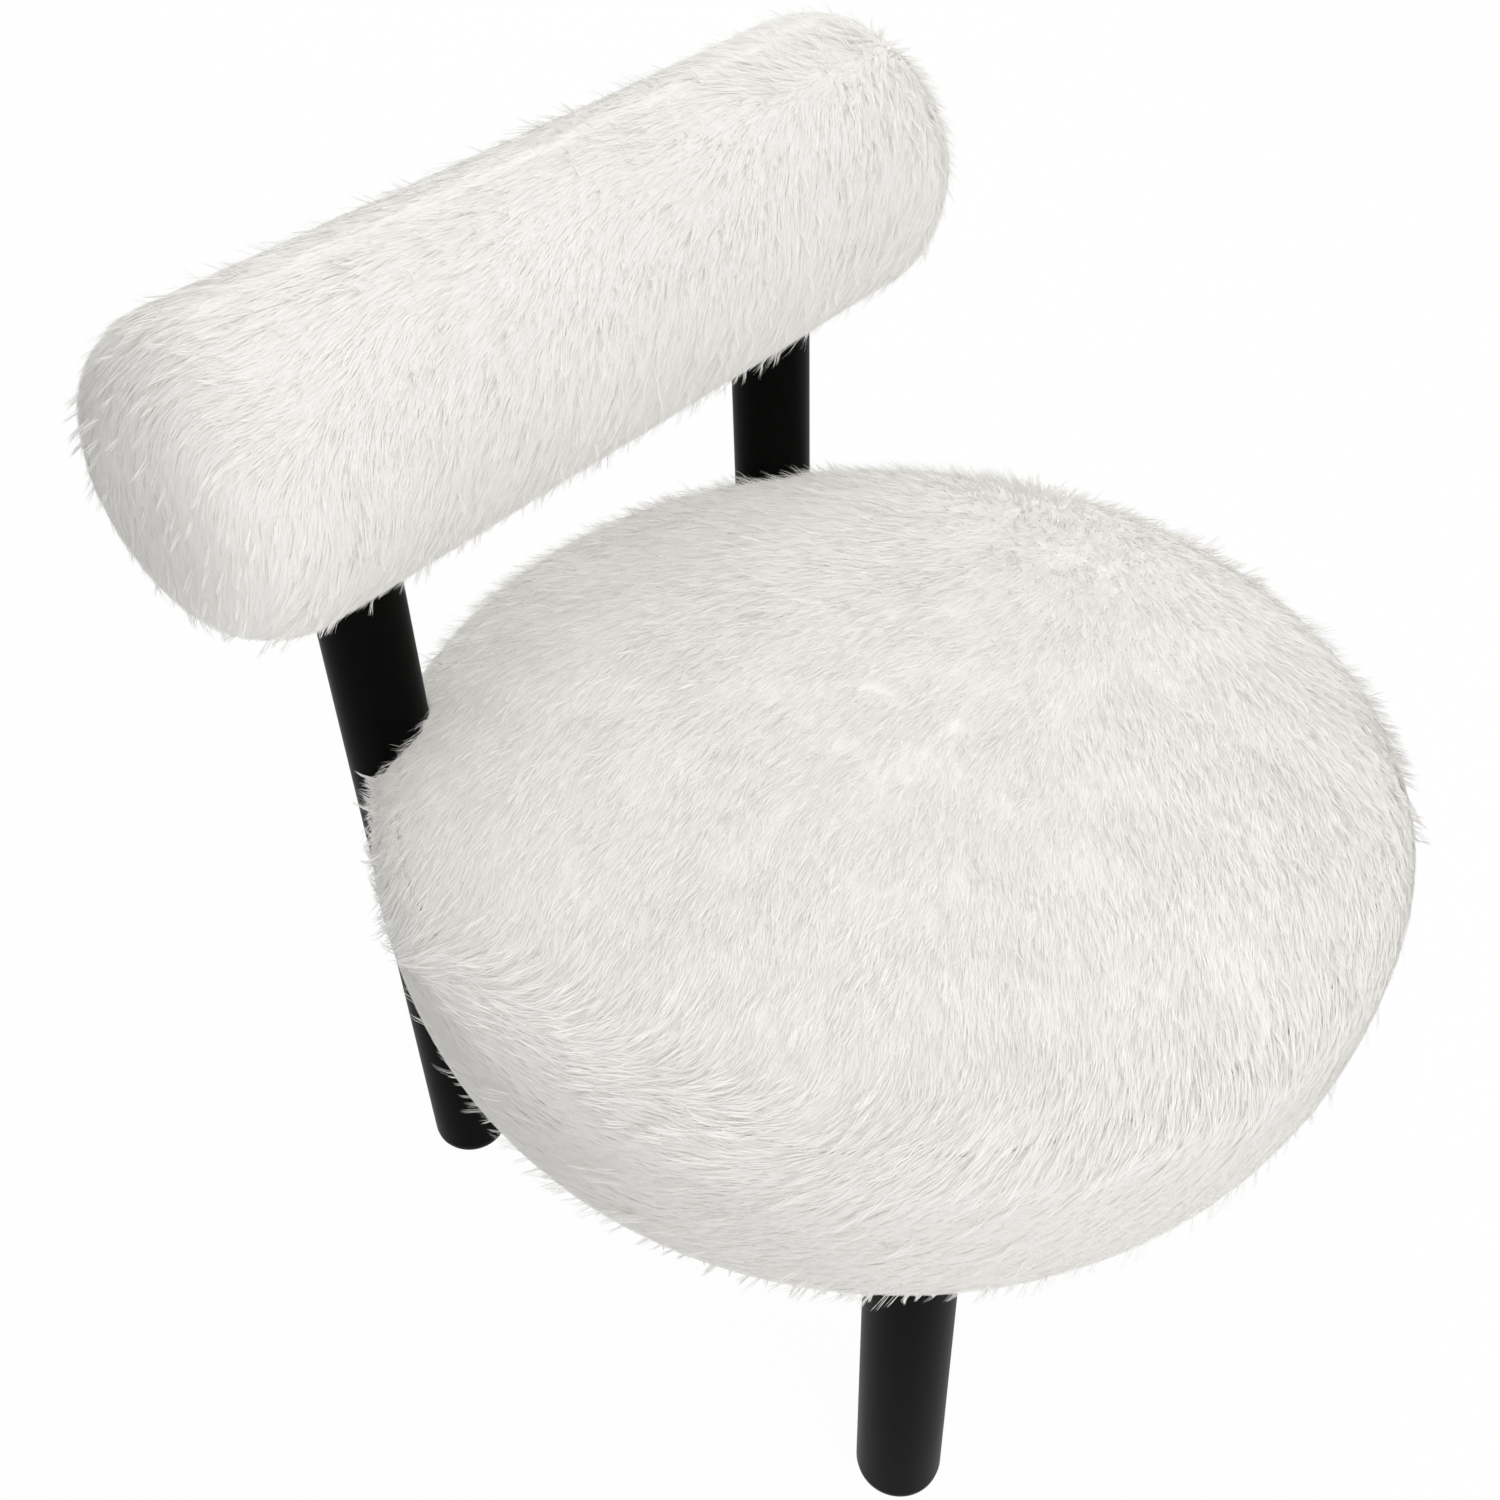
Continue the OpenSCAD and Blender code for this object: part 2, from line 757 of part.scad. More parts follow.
module bolster_cover_body() {
    seam_half = bolster_l / 2 - bolster_seam_inset;
    color(off_white) clear_of_posts() turn_bolster() intersection() {
        bolster_section(0, cover_t);
        translate([0, -seam_half]) square([bolster_r + overrun, 2 * seam_half]);
    }
}

module bolster_cover_end(side) {
    seam_half = bolster_l / 2 - bolster_seam_inset;
    color(off_white) turn_bolster() intersection() {
        bolster_section(0, cover_t);
        translate([0, side > 0 ? seam_half : -seam_half - bolster_l]) square([bolster_r, bolster_l]);
    }
}

module bolster_cover_end_left() { bolster_cover_end(-1); }
module bolster_cover_end_right() { bolster_cover_end(1); }

front_leg_left();
front_leg_right();
rear_post_left();
rear_post_right();
foot_glides();
leg_hanger_bolts();
leg_tee_nuts();
base_board();
frame_struts();
post_block_left();
post_block_right();
top_ring();
rim_band();
webbing_front_to_back();
webbing_side_to_side();
webbing_staples();
frame_screws();
post_bolts();
post_bolt_washers();
post_inserts();
seat_foam();
side_foam();
seat_wadding();
seat_cover_top();
seat_cover_band();
dust_cover();
hem_staples();
bolster_tube();
bolster_socket_left();
bolster_socket_right();
bolster_end_disc_left();
bolster_end_disc_right();
bolster_lock_screws();
bolster_foam();
bolster_end_pad_left();
bolster_end_pad_right();
bolster_wadding();
bolster_cover_body();
bolster_cover_end_left();
bolster_cover_end_right();
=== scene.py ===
"""Dresses a round furred lounge chair: a furred seat and bolster on four black turned legs.

Metres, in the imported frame: +Z up, the front towards -Y, left and right as seen from the front.
The solids keep their places. The furred covers are built again with their pile, strand by strand.
"""

import logging
import math
from dataclasses import dataclass
from enum import Enum
from typing import Callable

import bpy
import numpy as np
from bpy.types import Material, Node, NodeSocket, Object
from mathutils import Matrix, Vector

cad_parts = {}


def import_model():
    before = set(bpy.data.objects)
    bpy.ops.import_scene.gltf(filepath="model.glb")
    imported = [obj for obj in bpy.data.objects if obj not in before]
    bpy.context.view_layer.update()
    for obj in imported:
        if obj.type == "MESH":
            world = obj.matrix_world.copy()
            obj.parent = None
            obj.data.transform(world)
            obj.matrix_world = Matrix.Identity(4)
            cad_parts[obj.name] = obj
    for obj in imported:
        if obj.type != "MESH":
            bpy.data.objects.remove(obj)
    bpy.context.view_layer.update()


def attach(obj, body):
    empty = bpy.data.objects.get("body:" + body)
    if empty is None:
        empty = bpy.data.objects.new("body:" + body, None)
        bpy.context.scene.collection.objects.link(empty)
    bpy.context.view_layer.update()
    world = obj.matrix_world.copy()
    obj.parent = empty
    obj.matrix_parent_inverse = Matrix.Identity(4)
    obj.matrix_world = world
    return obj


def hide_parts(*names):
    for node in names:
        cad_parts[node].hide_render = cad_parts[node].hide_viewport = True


LOG = logging.getLogger("chair")
BODY = "root"
FULL_TURN = 2 * math.pi
ALONG_X, UP = np.array([1.0, 0.0, 0.0]), np.array([0.0, 0.0, 1.0])
Array = np.ndarray
Triple = Colour = tuple[float, float, float]

# The furred outlines, as the solids have them
SEAT_R, SEAT_TOP_Z, SEAT_WIDEST_Z, SEAT_LOW_Z = 0.315, 0.462, 0.390, 0.270
SEAT_TUCK, SEAT_SEAM_Z, SEAT_Y = 0.043, 0.418, -0.01381
SEAT_MIDDLE = np.array([0.0, SEAT_Y, 0.0])
BOLSTER_R, BOLSTER_HALF, BOLSTER_END_H, BOLSTER_Z = 0.095, 0.300, 0.060, 0.636
BOLSTER_SEAM = BOLSTER_HALF - 0.032
LEG_R, LEG_X, POST_Y, FRONT_Y = 0.0275, 0.184, 0.23381, -0.18084
BOARD_LOW_Z, BOARD_TOP_Z, BOARD_R, DUST_R = 0.285, 0.303, 0.268, 0.238
LINING_INSET = 0.020 - 0.0006
LATHE_STEPS, LATHE_LUMPS, HOLE_SIDES, HOLE_GAP = 240, 0.0010, 48, 0.0006

# The photograph's directions on the floor: towards its right and towards its lower edge
PHOTO_AZIMUTH = math.radians(-47.71)
PHOTO_RIGHT = np.array([math.cos(PHOTO_AZIMUTH), math.sin(PHOTO_AZIMUTH), 0.0])
PHOTO_DOWN = np.array([math.sin(PHOTO_AZIMUTH), -math.cos(PHOTO_AZIMUTH), 0.0])

# The fur's turn in degrees: on the seat by the place down the photograph, on the bolster by the
# angle round its axis
SEAT_TURNS = ([-0.75, -0.45, -0.30, -0.12, 0.08, 0.28, 0.45, 0.62], [86, 74, 58, 42, 29, 21, 17, 15])
BOLSTER_TURNS = ([-180, -90, -45, -10, 10, 30, 50, 70, 85, 110, 180],
                 [-80, -70, -40, -6, -4, 10, 24, 42, 50, 56, 76])

# The shares of a strand's length at which it has corners, and its width there
STATIONS = np.array([0.0, 0.34, 0.70, 1.0])
TAPER = (1.0, 1.0, 0.80, 0.0)

# Two strides that spread points evenly over a square, and the factors that scramble a noise's cells
STRIDES = (0.7548776662466927, 0.5698402909980532)
SCRAMBLE, SCRAMBLE_AGAIN, LOW_BITS = (374761393, 668265263, 1440662683, 974711), 1274126177, 0x7FFFFFFF


def ease(values: Array, low: float, high: float) -> Array:
    """Goes smoothly from 0 at low to 1 at high."""
    t = np.clip((values - low) / (high - low), 0.0, 1.0)
    return t * t * (3.0 - 2.0 * t)


def blend(first: Array, second: Array, share: Array | float) -> Array:
    """From the first at share 0 to the second at share 1."""
    return (1 - share) * first + share * second


def unit(vectors: Array) -> Array:
    """The vectors at length 1."""
    return vectors / np.maximum(np.linalg.norm(vectors, axis=-1, keepdims=True), 1e-9)


def dot(a: Array, b: Array) -> Array:
    """The products of matching vectors, kept as a column."""
    return (a * b).sum(axis=-1, keepdims=True)


def turned(ways: Array, axes: Array, angles: Array) -> Array:
    """The ways turned about axes square to them, by angles in radians."""
    return np.cos(angles)[:, None] * ways + np.sin(angles)[:, None] * np.cross(axes, ways)


def ring_turns(count: int) -> Array:
    """Even steps once round, in radians."""
    return np.linspace(0, FULL_TURN, count, endpoint=False)


def drift(points: Array, size: float, seed: int) -> Array:
    """Smooth noise that doesn't repeat.

    Args:
        points: places, in metres, one a row.
        size: how far apart its swells are, in metres.
        seed: which noise.

    Returns:
        One number a point, from -1 to 1.
    """
    place = points / size + seed * 17.31
    cell = np.floor(place).astype(np.int64)
    part = place - cell
    part = part * part * (3.0 - 2.0 * part)
    total = np.zeros(len(points))
    for corner in range(8):
        step = np.array([corner & 1, corner >> 1 & 1, corner >> 2 & 1])
        numbers = (*(cell + step).T, seed)
        mixed = sum(number * factor for number, factor in zip(numbers, SCRAMBLE)) & LOW_BITS
        mixed = ((mixed ^ (mixed >> 13)) * SCRAMBLE_AGAIN) & LOW_BITS
        mixed = (mixed ^ (mixed >> 16)) & 0xFFFF
        weight = np.where(step == 1, part, 1.0 - part).prod(axis=1)
        total += weight * (mixed / 32767.5 - 1.0)
    return total


class Flow(Enum):
    """Which way a piece's strands are combed."""

    SEAT = "seat"
    BOLSTER = "bolster"


@dataclass(frozen=True)
class Post:
    """A round leg that stands on the floor and that fur lies against."""

    x: float
    y: float
    high: float

    def offsets(self, points: Array) -> Array:
        """Each point's distance from the leg's axis, across it."""
        return points[..., :2] - np.array([self.x, self.y])

    def holds(self, points: Array, gap: float) -> Array:
        """Which points lie in the leg or nearer to it than gap."""
        away = np.linalg.norm(self.offsets(points), axis=-1)
        height = points[..., 2]
        return (away < LEG_R + gap) & (height > 0.0) & (height < self.high)

    def clear(self, points: Array, gap: float) -> Array:
        """Moves the points that lie in the leg out onto it, at a gap."""
        inside = self.holds(points, gap)
        away = self.offsets(points)
        reach = np.maximum(np.linalg.norm(away, axis=-1, keepdims=True), 1e-6)
        moved = points.copy()
        moved[..., :2] += np.where(inside[..., None], away / reach * (LEG_R + gap - reach), 0.0)
        return moved


POSTS = [Post(side * LEG_X, y, high)
         for y, high in ((POST_Y, BOLSTER_Z), (FRONT_Y, BOARD_LOW_Z)) for side in (-1, 1)]


class RoundForm:
    """A body turned about an axis, given by its half outline."""

    def __init__(self, outline: Array, inner: tuple[float, float], origin: Array, axis: Array,
                 start: Array) -> None:
        """Works out lengths, normals and angles along the outline.

        Args:
            outline: the half section's corners as radius and height.
            inner: a point from which the outline is seen whole, so that any place near finds its own.
            origin: where height 0 lies on the axis.
            axis: its direction.
            start: the direction of turn 0, square to it.
        """
        self.outline, self.inner = outline, inner
        self.origin, self.axis, self.start = origin, axis, start
        self.third = np.cross(axis, start)
        steps = np.linalg.norm(np.diff(outline, axis=0), axis=1)
        self.run = np.concatenate([[0.0], np.cumsum(steps)])
        along = np.gradient(outline, self.run, axis=0)
        self.normals = unit(np.stack([along[:, 1], -along[:, 0]], axis=1))
        seen = outline - np.array(inner)
        self.angles = np.unwrap(np.arctan2(seen[:, 1], seen[:, 0]))

    def area(self) -> float:
        """The turned surface's area in square metres."""
        return float(FULL_TURN * np.trapz(self.outline[:, 0], self.run))

    def spokes(self, turn: Array) -> Array:
        """Directions away from the axis, at turns round it."""
        return np.cos(turn)[:, None] * self.start + np.sin(turn)[:, None] * self.third

    def at(self, run: Array, turn: Array) -> tuple[Array, Array]:
        """Places and normals at lengths along the outline and turns round the axis."""
        radius, height, out, rise = (
            np.interp(run, self.run, column)[:, None] for column in (*self.outline.T, *self.normals.T))
        spoke = self.spokes(turn)
        places = self.origin + radius * spoke + height * self.axis
        return places, unit(out * spoke + rise * self.axis)

    def settle(self, points: Array) -> tuple[Array, Array]:
        """The places and normals on the surface that lie under or over the points."""
        offset = points - self.origin
        aside, ahead = offset @ self.third, offset @ self.start
        height, radius = offset @ self.axis, np.hypot(aside, ahead)
        seen = np.arctan2(height - self.inner[1], radius - self.inner[0])
        low, high = self.angles.min(), self.angles.max()
        seen = low + (seen - low) % FULL_TURN
        seen = np.where(seen > (high + low) / 2 + math.pi, low, seen)
        order = np.argsort(self.angles)
        return self.at(np.interp(seen, self.angles[order], self.run[order]), np.arctan2(aside, ahead))

    def scatter(self, count: int, draws: np.random.Generator) -> tuple[Array, Array]:
        """Places and normals spread evenly over the surface."""
        share = np.concatenate([[0.0], np.cumsum(
            np.diff(self.run) * (self.outline[1:, 0] + self.outline[:-1, 0]) / 2)])
        first, second = (
            (0.5 + np.arange(count) * stride + draws.normal(0, 0.22, count) / math.sqrt(count)) % 1
            for stride in STRIDES)
        return self.at(np.interp(first, share / share[-1], self.run), FULL_TURN * second)


def crown_outline(radius: float, height: float, side_power: float, crown_power: float,
                  steps: int) -> Array:
    """A quarter of a rounded crown, from its rim to its middle."""
    turn = math.pi / 2 * (1.0 - np.linspace(1.0, 0.0, steps) ** (side_power / 2))
    across = radius * np.clip(np.cos(turn), 0, 1) ** (2 / side_power)
    return np.stack([across, height * np.sin(turn) ** (2 / crown_power)], axis=1)


def seat_outline(inset: float, low_z: float = SEAT_LOW_Z) -> Array:
    """The seat's half outline at an inset, from a height up to the middle of its crown."""
    radius = SEAT_R - inset
    drop = SEAT_WIDEST_Z - SEAT_LOW_Z
    turn = np.linspace(math.asin((SEAT_WIDEST_Z - low_z) / drop), 0.0, 40)
    side = np.stack([radius - SEAT_TUCK * (1 - np.cos(turn)), SEAT_WIDEST_Z - drop * np.sin(turn)], 1)
    crown = crown_outline(radius, SEAT_TOP_Z - inset - SEAT_WIDEST_Z, 3, 2.2, 70)
    return np.concatenate([side, crown[1:] + np.array([0.0, SEAT_WIDEST_Z])])


def bolster_outline(inset: float) -> Array:
    """The bolster's half outline at an inset, end to end."""
    straight = BOLSTER_HALF - BOLSTER_END_H
    cap = crown_outline(BOLSTER_R - inset, BOLSTER_END_H - inset, 3, 2, 40)
    cap = cap + np.array([0.0, straight])
    middle = np.stack([np.full(60, BOLSTER_R - inset), np.linspace(-straight, straight, 62)[1:-1]], 1)
    return np.concatenate([cap[::-1] * np.array([1.0, -1.0]), middle, cap])


def seat_form(inset: float) -> RoundForm:
    """The seat's furred surface, with the turned-in edge under the board."""
    under = np.array([[0.2435, 0.2735], [0.2465, 0.2700], [0.2520, 0.2680], [0.2590, 0.2672],
                      [0.2655, 0.2677], [0.2700, 0.2690]])
    outline = np.concatenate([under, seat_outline(inset)])
    return RoundForm(outline, (0.215, 0.315), SEAT_MIDDLE, UP, ALONG_X)


def bolster_form(inset: float) -> RoundForm:
    """The bolster's furred surface."""
    middle = np.array([0.0, POST_Y, BOLSTER_Z])
    return RoundForm(bolster_outline(inset), (0.0, 0.0), middle, ALONG_X, UP)


@dataclass(frozen=True)
class Pile:
    """How dense, long and tousled a piece's fur is, in metres and degrees."""

    length: float
    gloss: float
    flyaway_share: float
    tufts_a_square_metre: float = 80000.0
    strands: int = 6
    width: float = 0.00056
    depth: float = 0.0023
    spread: float = 0.0030
    gather: float = 0.40
    upright_gather: float = 0.85
    stray_turn: float = 3.5
    swell_turn: float = 6.0
    ripple_turn: float = 4.0
    curl_turn: float = 8.0
    tousled_turn: float = 26.0
    stiffness: float = 0.55
    spring: float = 0.009
    wander: float = 0.0013
    wave: float = 0.0006
    lift: float = 0.0006
    roll: float = 18.0
    unevenness: float = 1.0
    speckle: float = 1.0
    flyaway_rise: float = 0.0048
    spike_share: float = 0.62
    spike_rise: float = 0.0100
    post_gap: float = 0.0009


@dataclass(frozen=True)
class Spot:
    """A round zone on the fur that fades out from its middle."""

    place: Triple
    radius: float
    strength: float = 1.0

    def near(self, points: Array) -> Array:
        """The zone's strength at each point."""
        apart = np.linalg.norm(points - np.array(self.place), axis=1)
        return self.strength * np.exp(-(apart / self.radius) ** 2)


@dataclass(frozen=True)
class Comb:
    """Says which way the fur lies at each place, and how lively it is."""

    flow: Flow

    MOST_SWIRL = math.radians(45.0)
    SPIKED = {
        Flow.SEAT: [Spot((0.264, 0.078, 0.428), 0.045), Spot((-0.035, 0.282, 0.420), 0.030, 0.8)],
        Flow.BOLSTER: [Spot((0.274, POST_Y - 0.055, BOLSTER_Z + 0.060), 0.040)],
    }
    TOUSLED = {
        Flow.SEAT: [Spot((0.204, -0.012, 0.452), 0.070, 0.9)],
        Flow.BOLSTER: [Spot((0.205, POST_Y - 0.044, BOLSTER_Z + 0.083), 0.030)],
    }

    def ways(self, points: Array, normals: Array) -> Array:
        """Unit directions along the surface.

        Args:
            points: places on the surface.
            normals: the surface's normals there.

        Returns:
            The direction in which the fur lies at each point.
        """
        raw = self._seat(points, normals) if self.flow is Flow.SEAT else self._bolster(points)
        way = unit(raw - normals * dot(raw, normals))
        swirl = self.tousled(points) * self.MOST_SWIRL * drift(points, 0.011, 71)
        return turned(way, normals, swirl)

    def _zone(self, spots: dict[Flow, list[Spot]], points: Array) -> Array:
        """The spots' strength together, from 0 to 1."""
        return np.clip(sum(spot.near(points) for spot in spots[self.flow]), 0.0, 1.0)

    def tousled(self, points: Array) -> Array:
        """How far the strands curl out of their direction, from 0 to 1."""
        return self._zone(self.TOUSLED, points)

    def liveliness(self, normals: Array) -> Array:
        """How lively the fur is: over 1 on the seat's crown, less on its band and the bolster."""
        if self.flow is Flow.BOLSTER:
            return np.full(len(normals), 0.52)
        return 0.12 + 1.10 * ease(normals[:, 2], 0.35, 0.95)

    def spiked(self, points: Array, normals: Array) -> Array:
        """How many tufts stand up, from 0 to 1: in the spots, at the seat's rear rim and its hem."""
        spots = self._zone(self.SPIKED, points)
        if self.flow is Flow.BOLSTER:
            return np.maximum(spots, 0.06)
        level = normals[:, 2]
        rim = ease(level, 0.10, 0.40) * (1 - ease(level, 0.70, 0.95))
        front = ease((points - SEAT_MIDDLE) @ PHOTO_DOWN / SEAT_R, 0.05, 0.35)
        hem = ease(-level, 0.20, 0.60) * 0.20
        return np.maximum(spots, 0.40 * rim * (1 - front) + hem)

    def sunk(self, points: Array) -> Array:
        """How far the seams' stitches draw the fur in, in metres."""
        if self.flow is Flow.SEAT:
            reach = np.hypot(points[:, 0], points[:, 1] - SEAT_Y)
            line = np.exp(-((points[:, 2] - SEAT_SEAM_Z - 0.003) / 0.0036) ** 2) * (reach > 0.27)
            line = line * ease(points @ PHOTO_DOWN / SEAT_R, 0.35, 0.65)
            depth = 0.0007
        else:
            line = np.exp(-((np.abs(points[:, 0]) - BOLSTER_SEAM) / 0.0036) ** 2)
            depth = 0.0036
        return depth * line * np.clip(1.7 * drift(points, 0.017, 81) - 0.20, 0.0, 1.0)

    @staticmethod
    def _seat(points: Array, normals: Array) -> Array:
        """The seat's flow: forwards from the rear right over the crown, and round the side band."""
        offset = (points - SEAT_MIDDLE) / SEAT_R
        across, down = offset @ PHOTO_RIGHT, offset @ PHOTO_DOWN
        reach = np.hypot(across, down)
        turn = np.interp(down, *SEAT_TURNS)
        turn = turn - 14 * ease(-across, 0.25, 0.50) * (1 - ease(down, -0.10, 0.08))
        turn = turn * (1 - ease(across, 0.0, 0.65))
        turn = turn - 35 * ease(across, 0.45, 0.95) * (1 - ease(down, -0.30, 0.20))
        turn = turn + 95 * (ease(reach, 0.78, 0.94) * ease(down, 0.30, 0.62)
                            * (1 - ease(across, -0.45, 0.40)))
        turn = np.radians(turn)[:, None]
        top = np.cos(turn) * PHOTO_DOWN - np.sin(turn) * PHOTO_RIGHT
        spoke = unit(offset * np.array([1.0, 1.0, 0.0]))
        edge = ease(reach, 0.74, 0.94)[:, None]
        top = top - spoke * np.minimum(dot(top, spoke), 0.0) * edge
        lean = -0.36 + 0.52 * ease(-across, 0.10, 0.60) * ease(down, -0.30, 0.20)
        ahead = ease(down / np.maximum(reach, 1e-6), -0.45, 0.05)[:, None]
        side = blend(-UP, np.cross(spoke, UP) + lean[:, None] * UP, ahead)
        level = ease(normals[:, 2:], 0.25, 0.80)
        hidden = ease(-normals[:, 2:], 0.35, 0.80)
        return blend(blend(side, top, level), -spoke, hidden)

    @staticmethod
    def _bolster(points: Array) -> Array:
        """The bolster's flow: leftwards on top, down its front and back, and down its caps."""
        x = points[:, 0]
        over = np.degrees(np.arctan2(-(points[:, 1] - POST_Y), points[:, 2] - BOLSTER_Z))
        turn = np.interp(over, *BOLSTER_TURNS)
        turn = turn + 38 * ease(x, 0.04, 0.14) * ease(over, 30, 70) * (over < 120)
        turn = turn - 22 * ease(-x, 0.21, 0.25) * (
            ease(over, 5, 30) * (1 - ease(over, 50, 75)))
        turn = np.radians(turn)[:, None]
        spin = np.radians(over)[:, None]
        forward = np.concatenate([np.zeros_like(spin), -np.cos(spin), -np.sin(spin)], axis=1)
        body = -np.cos(turn) * ALONG_X + np.sin(turn) * forward
        outwards = (-0.60 + 0.30 * ease(x, 0.16, 0.26))[:, None]
        parted = (2 * ease(over, 10, 44) - 1)[:, None]
        low = ease(-over, 100, 150)[:, None]
        right = outwards * ALONG_X + (parted * (1 - low) + 0.9 * low) * forward
        flow = blend(body, right, ease(x, 0.10, 0.17)[:, None])
        high = (points[:, 2] - BOLSTER_Z) / BOLSTER_R
        behind = ease((points[:, 1] - POST_Y) / BOLSTER_R, -0.20, 0.60)
        left_cap = np.stack([np.full_like(x, -0.25), high * behind, np.full_like(x, -1.0)], axis=1)
        right_cap = np.array([0.12, 0.0, -1.0])
        flow = blend(flow, left_cap, ease(-x, 0.262, 0.288)[:, None])
        return blend(flow, right_cap, ease(x, 0.255, 0.285)[:, None])


class Pelt:
    """Grows the strands of one furred form."""

    # Shares of the pile's length: of a tuft, of a strand in its tuft, and what tousling takes off
    TUFT_REACH, STRAND_REACH, TOUSLED_LOSS = (0.72, 1.12), (0.70, 1.0), 0.35
    # Upright tufts are narrower and shorter by this share, and their strands stray less by that one
    UPRIGHT_LOSS, UPRIGHT_STEADY = 0.45, 0.7
    # Shares of the full rise: of flyaways and of upright tufts
    FLYAWAY_RISE, SPIKE_RISE = (0.3, 1.0), (0.35, 1.0)

    def __init__(self, form: RoundForm, pile: Pile, flow: Flow, seed: int) -> None:
        """Keeps the form and grows its tufts."""
        self.form, self.pile, self.comb, self.seed = form, pile, Comb(flow), seed
        self.draws = np.random.default_rng(seed)
        self.points, self.across, self.normals, self.shade, self.liveliness = self._grow()

    def _march(self, place: Array, normal: Array, turn: Array,
               curl: Array) -> tuple[Array, Array, Array]:
        """Lays each tuft's middle line along the surface.

        Args:
            place: the tufts' roots on the surface.
            normal: the normals there.
            turn: how far each is turned from the comb's direction, in radians.
            curl: how far each turns further along its length.

        Returns:
            Places, normals and sideways directions by tuft and station.
        """
        places, normals, sides = [], [], []
        length = self.pile.length * self.draws.uniform(*self.TUFT_REACH, len(place))
        length = length * (1 - self.TOUSLED_LOSS * self.comb.tousled(place))
        held, before = place, None
        for number, station in enumerate(STATIONS):
            way = turned(self.comb.ways(place, normal), normal, turn + curl * station)
            way = way if before is None else unit(blend(way, before, self.pile.stiffness))
            places.append(held)
            normals.append(normal)
            sides.append(unit(np.cross(normal, way)))
            if number + 1 < len(STATIONS):
                aim = held + way * ((STATIONS[number + 1] - station) * length)[:, None]
                place, normal = self.form.settle(aim)
                held = place + normal * np.clip(dot(aim - place, normal), 0.0, self.pile.spring)
            before = way
        return np.stack(places, 1), np.stack(normals, 1), np.stack(sides, 1)

    def _grow(self) -> tuple[Array, Array, Array, Array, Array]:
        """Grows all tufts, then the strands of each.

        Returns:
            Middle points by strand and station, half widths as vectors, the form's normals there, and
            each strand's shade and liveliness.
        """
        pile, draws, seed = self.pile, self.draws, self.seed
        place, normal = self.form.scatter(int(self.form.area() * pile.tufts_a_square_metre), draws)
        keep = ~np.any([post.holds(place, -0.004) for post in POSTS], axis=0)
        place, normal = place[keep], normal[keep]
        count = len(place)
        liveliness = self.comb.liveliness(normal)
        turn = np.radians(pile.stray_turn * draws.standard_normal(count)
                          + pile.swell_turn * 2 * drift(place, 0.055, seed)
                          + pile.ripple_turn * 2 * drift(place, 0.013, seed + 2))
        turn = turn + (self.comb.tousled(place) ** 2 * np.radians(pile.tousled_turn)
                       * draws.standard_normal(count))
        curl = np.radians(pile.curl_turn) * draws.standard_normal(count)
        spike = draws.uniform(0, 1, count) < pile.spike_share * self.comb.spiked(place, normal)
        middles = self._march(place, normal, turn, curl)
        fly = draws.uniform(0, 1, count) < pile.flyaway_share * liveliness
        swell = (0.0003 * draws.standard_normal(count) + 0.0005 * drift(place, 0.040, seed + 5)
                 + 0.0005 * drift(place, 0.010, seed + 6))
        top = (pile.unevenness * liveliness * swell
               + fly * pile.flyaway_rise * draws.uniform(*self.FLYAWAY_RISE, count))
        stand = spike * pile.spike_rise * draws.uniform(*self.SPIKE_RISE, count)

        owner = np.repeat(np.arange(count), pile.strands)
        total = len(owner)
        upright, lively = spike[owner], liveliness[owner]
        narrowed = 1 - self.UPRIGHT_LOSS * upright
        radius = pile.spread * np.sqrt(draws.uniform(0, 1, total)) * narrowed
        bearing = draws.uniform(0, FULL_TURN, total)
        aside, along = radius * np.cos(bearing), radius * np.sin(bearing)
        reach = draws.uniform(*self.STRAND_REACH, total) * narrowed
        wave = draws.normal(0, pile.wave, total)
        phase = draws.uniform(0, FULL_TURN, total)
        lift = draws.normal(0, pile.lift, total) + 8.0 * pile.lift * draws.uniform(0, 1, total) ** 14
        lift = lift * lively
        astray = draws.normal(0, pile.wander, total) * (1 - self.UPRIGHT_STEADY * upright)
        roll = np.radians(draws.normal(0, pile.roll, total)) * lively
        points, across, outward = np.empty((3, total, len(STATIONS), 3))
        for number, station in enumerate(STATIONS):
            at = station * reach
            upper = np.clip(np.searchsorted(STATIONS, at, side="right"), 1, len(STATIONS) - 1)
            lower = upper - 1
            part = ((at - STATIONS[lower]) / (STATIONS[upper] - STATIONS[lower]))[:, None]
            middle, out, side = (blend(row[owner, lower], row[owner, upper], part) for row in middles)
            out, side = unit(out), unit(side)
            way = np.cross(side, out)
            tight = pile.gather + (pile.upright_gather - pile.gather) * upright
            gathered = 1 - tight * station ** 0.75
            high = -pile.depth + (pile.depth + top[owner]) * (1 - (1 - station) ** 2.3)
            high = high + fly[owner] * 0.003 * station ** 2 + lift * station
            high = high + stand[owner] * station ** 1.2 - self.comb.sunk(middle)
            sway = (aside * gathered + wave * np.sin(5.0 * station + phase) * station ** 0.5
                    + astray * station ** 1.6)
            forth = along * (1 - 0.3 * station)
            points[:, number] = (middle + side * sway[:, None] + way * forth[:, None]
                                 + out * high[:, None])
            across[:, number] = ((side * np.cos(roll)[:, None] + out * np.sin(roll)[:, None])
                                 * (pile.width * TAPER[number] / 2))
            outward[:, number] = out
        for post in POSTS:
            points = post.clear(points, pile.post_gap)
        tone = 0.15 * drift(place, 0.028, seed + 9) + 0.12 * draws.standard_normal(count)
        tone = (tone[owner] + 0.15 * draws.standard_normal(total)) * lively * pile.speckle
        return points, across, outward, np.clip(0.5 + tone, 0.02, 0.98), lively

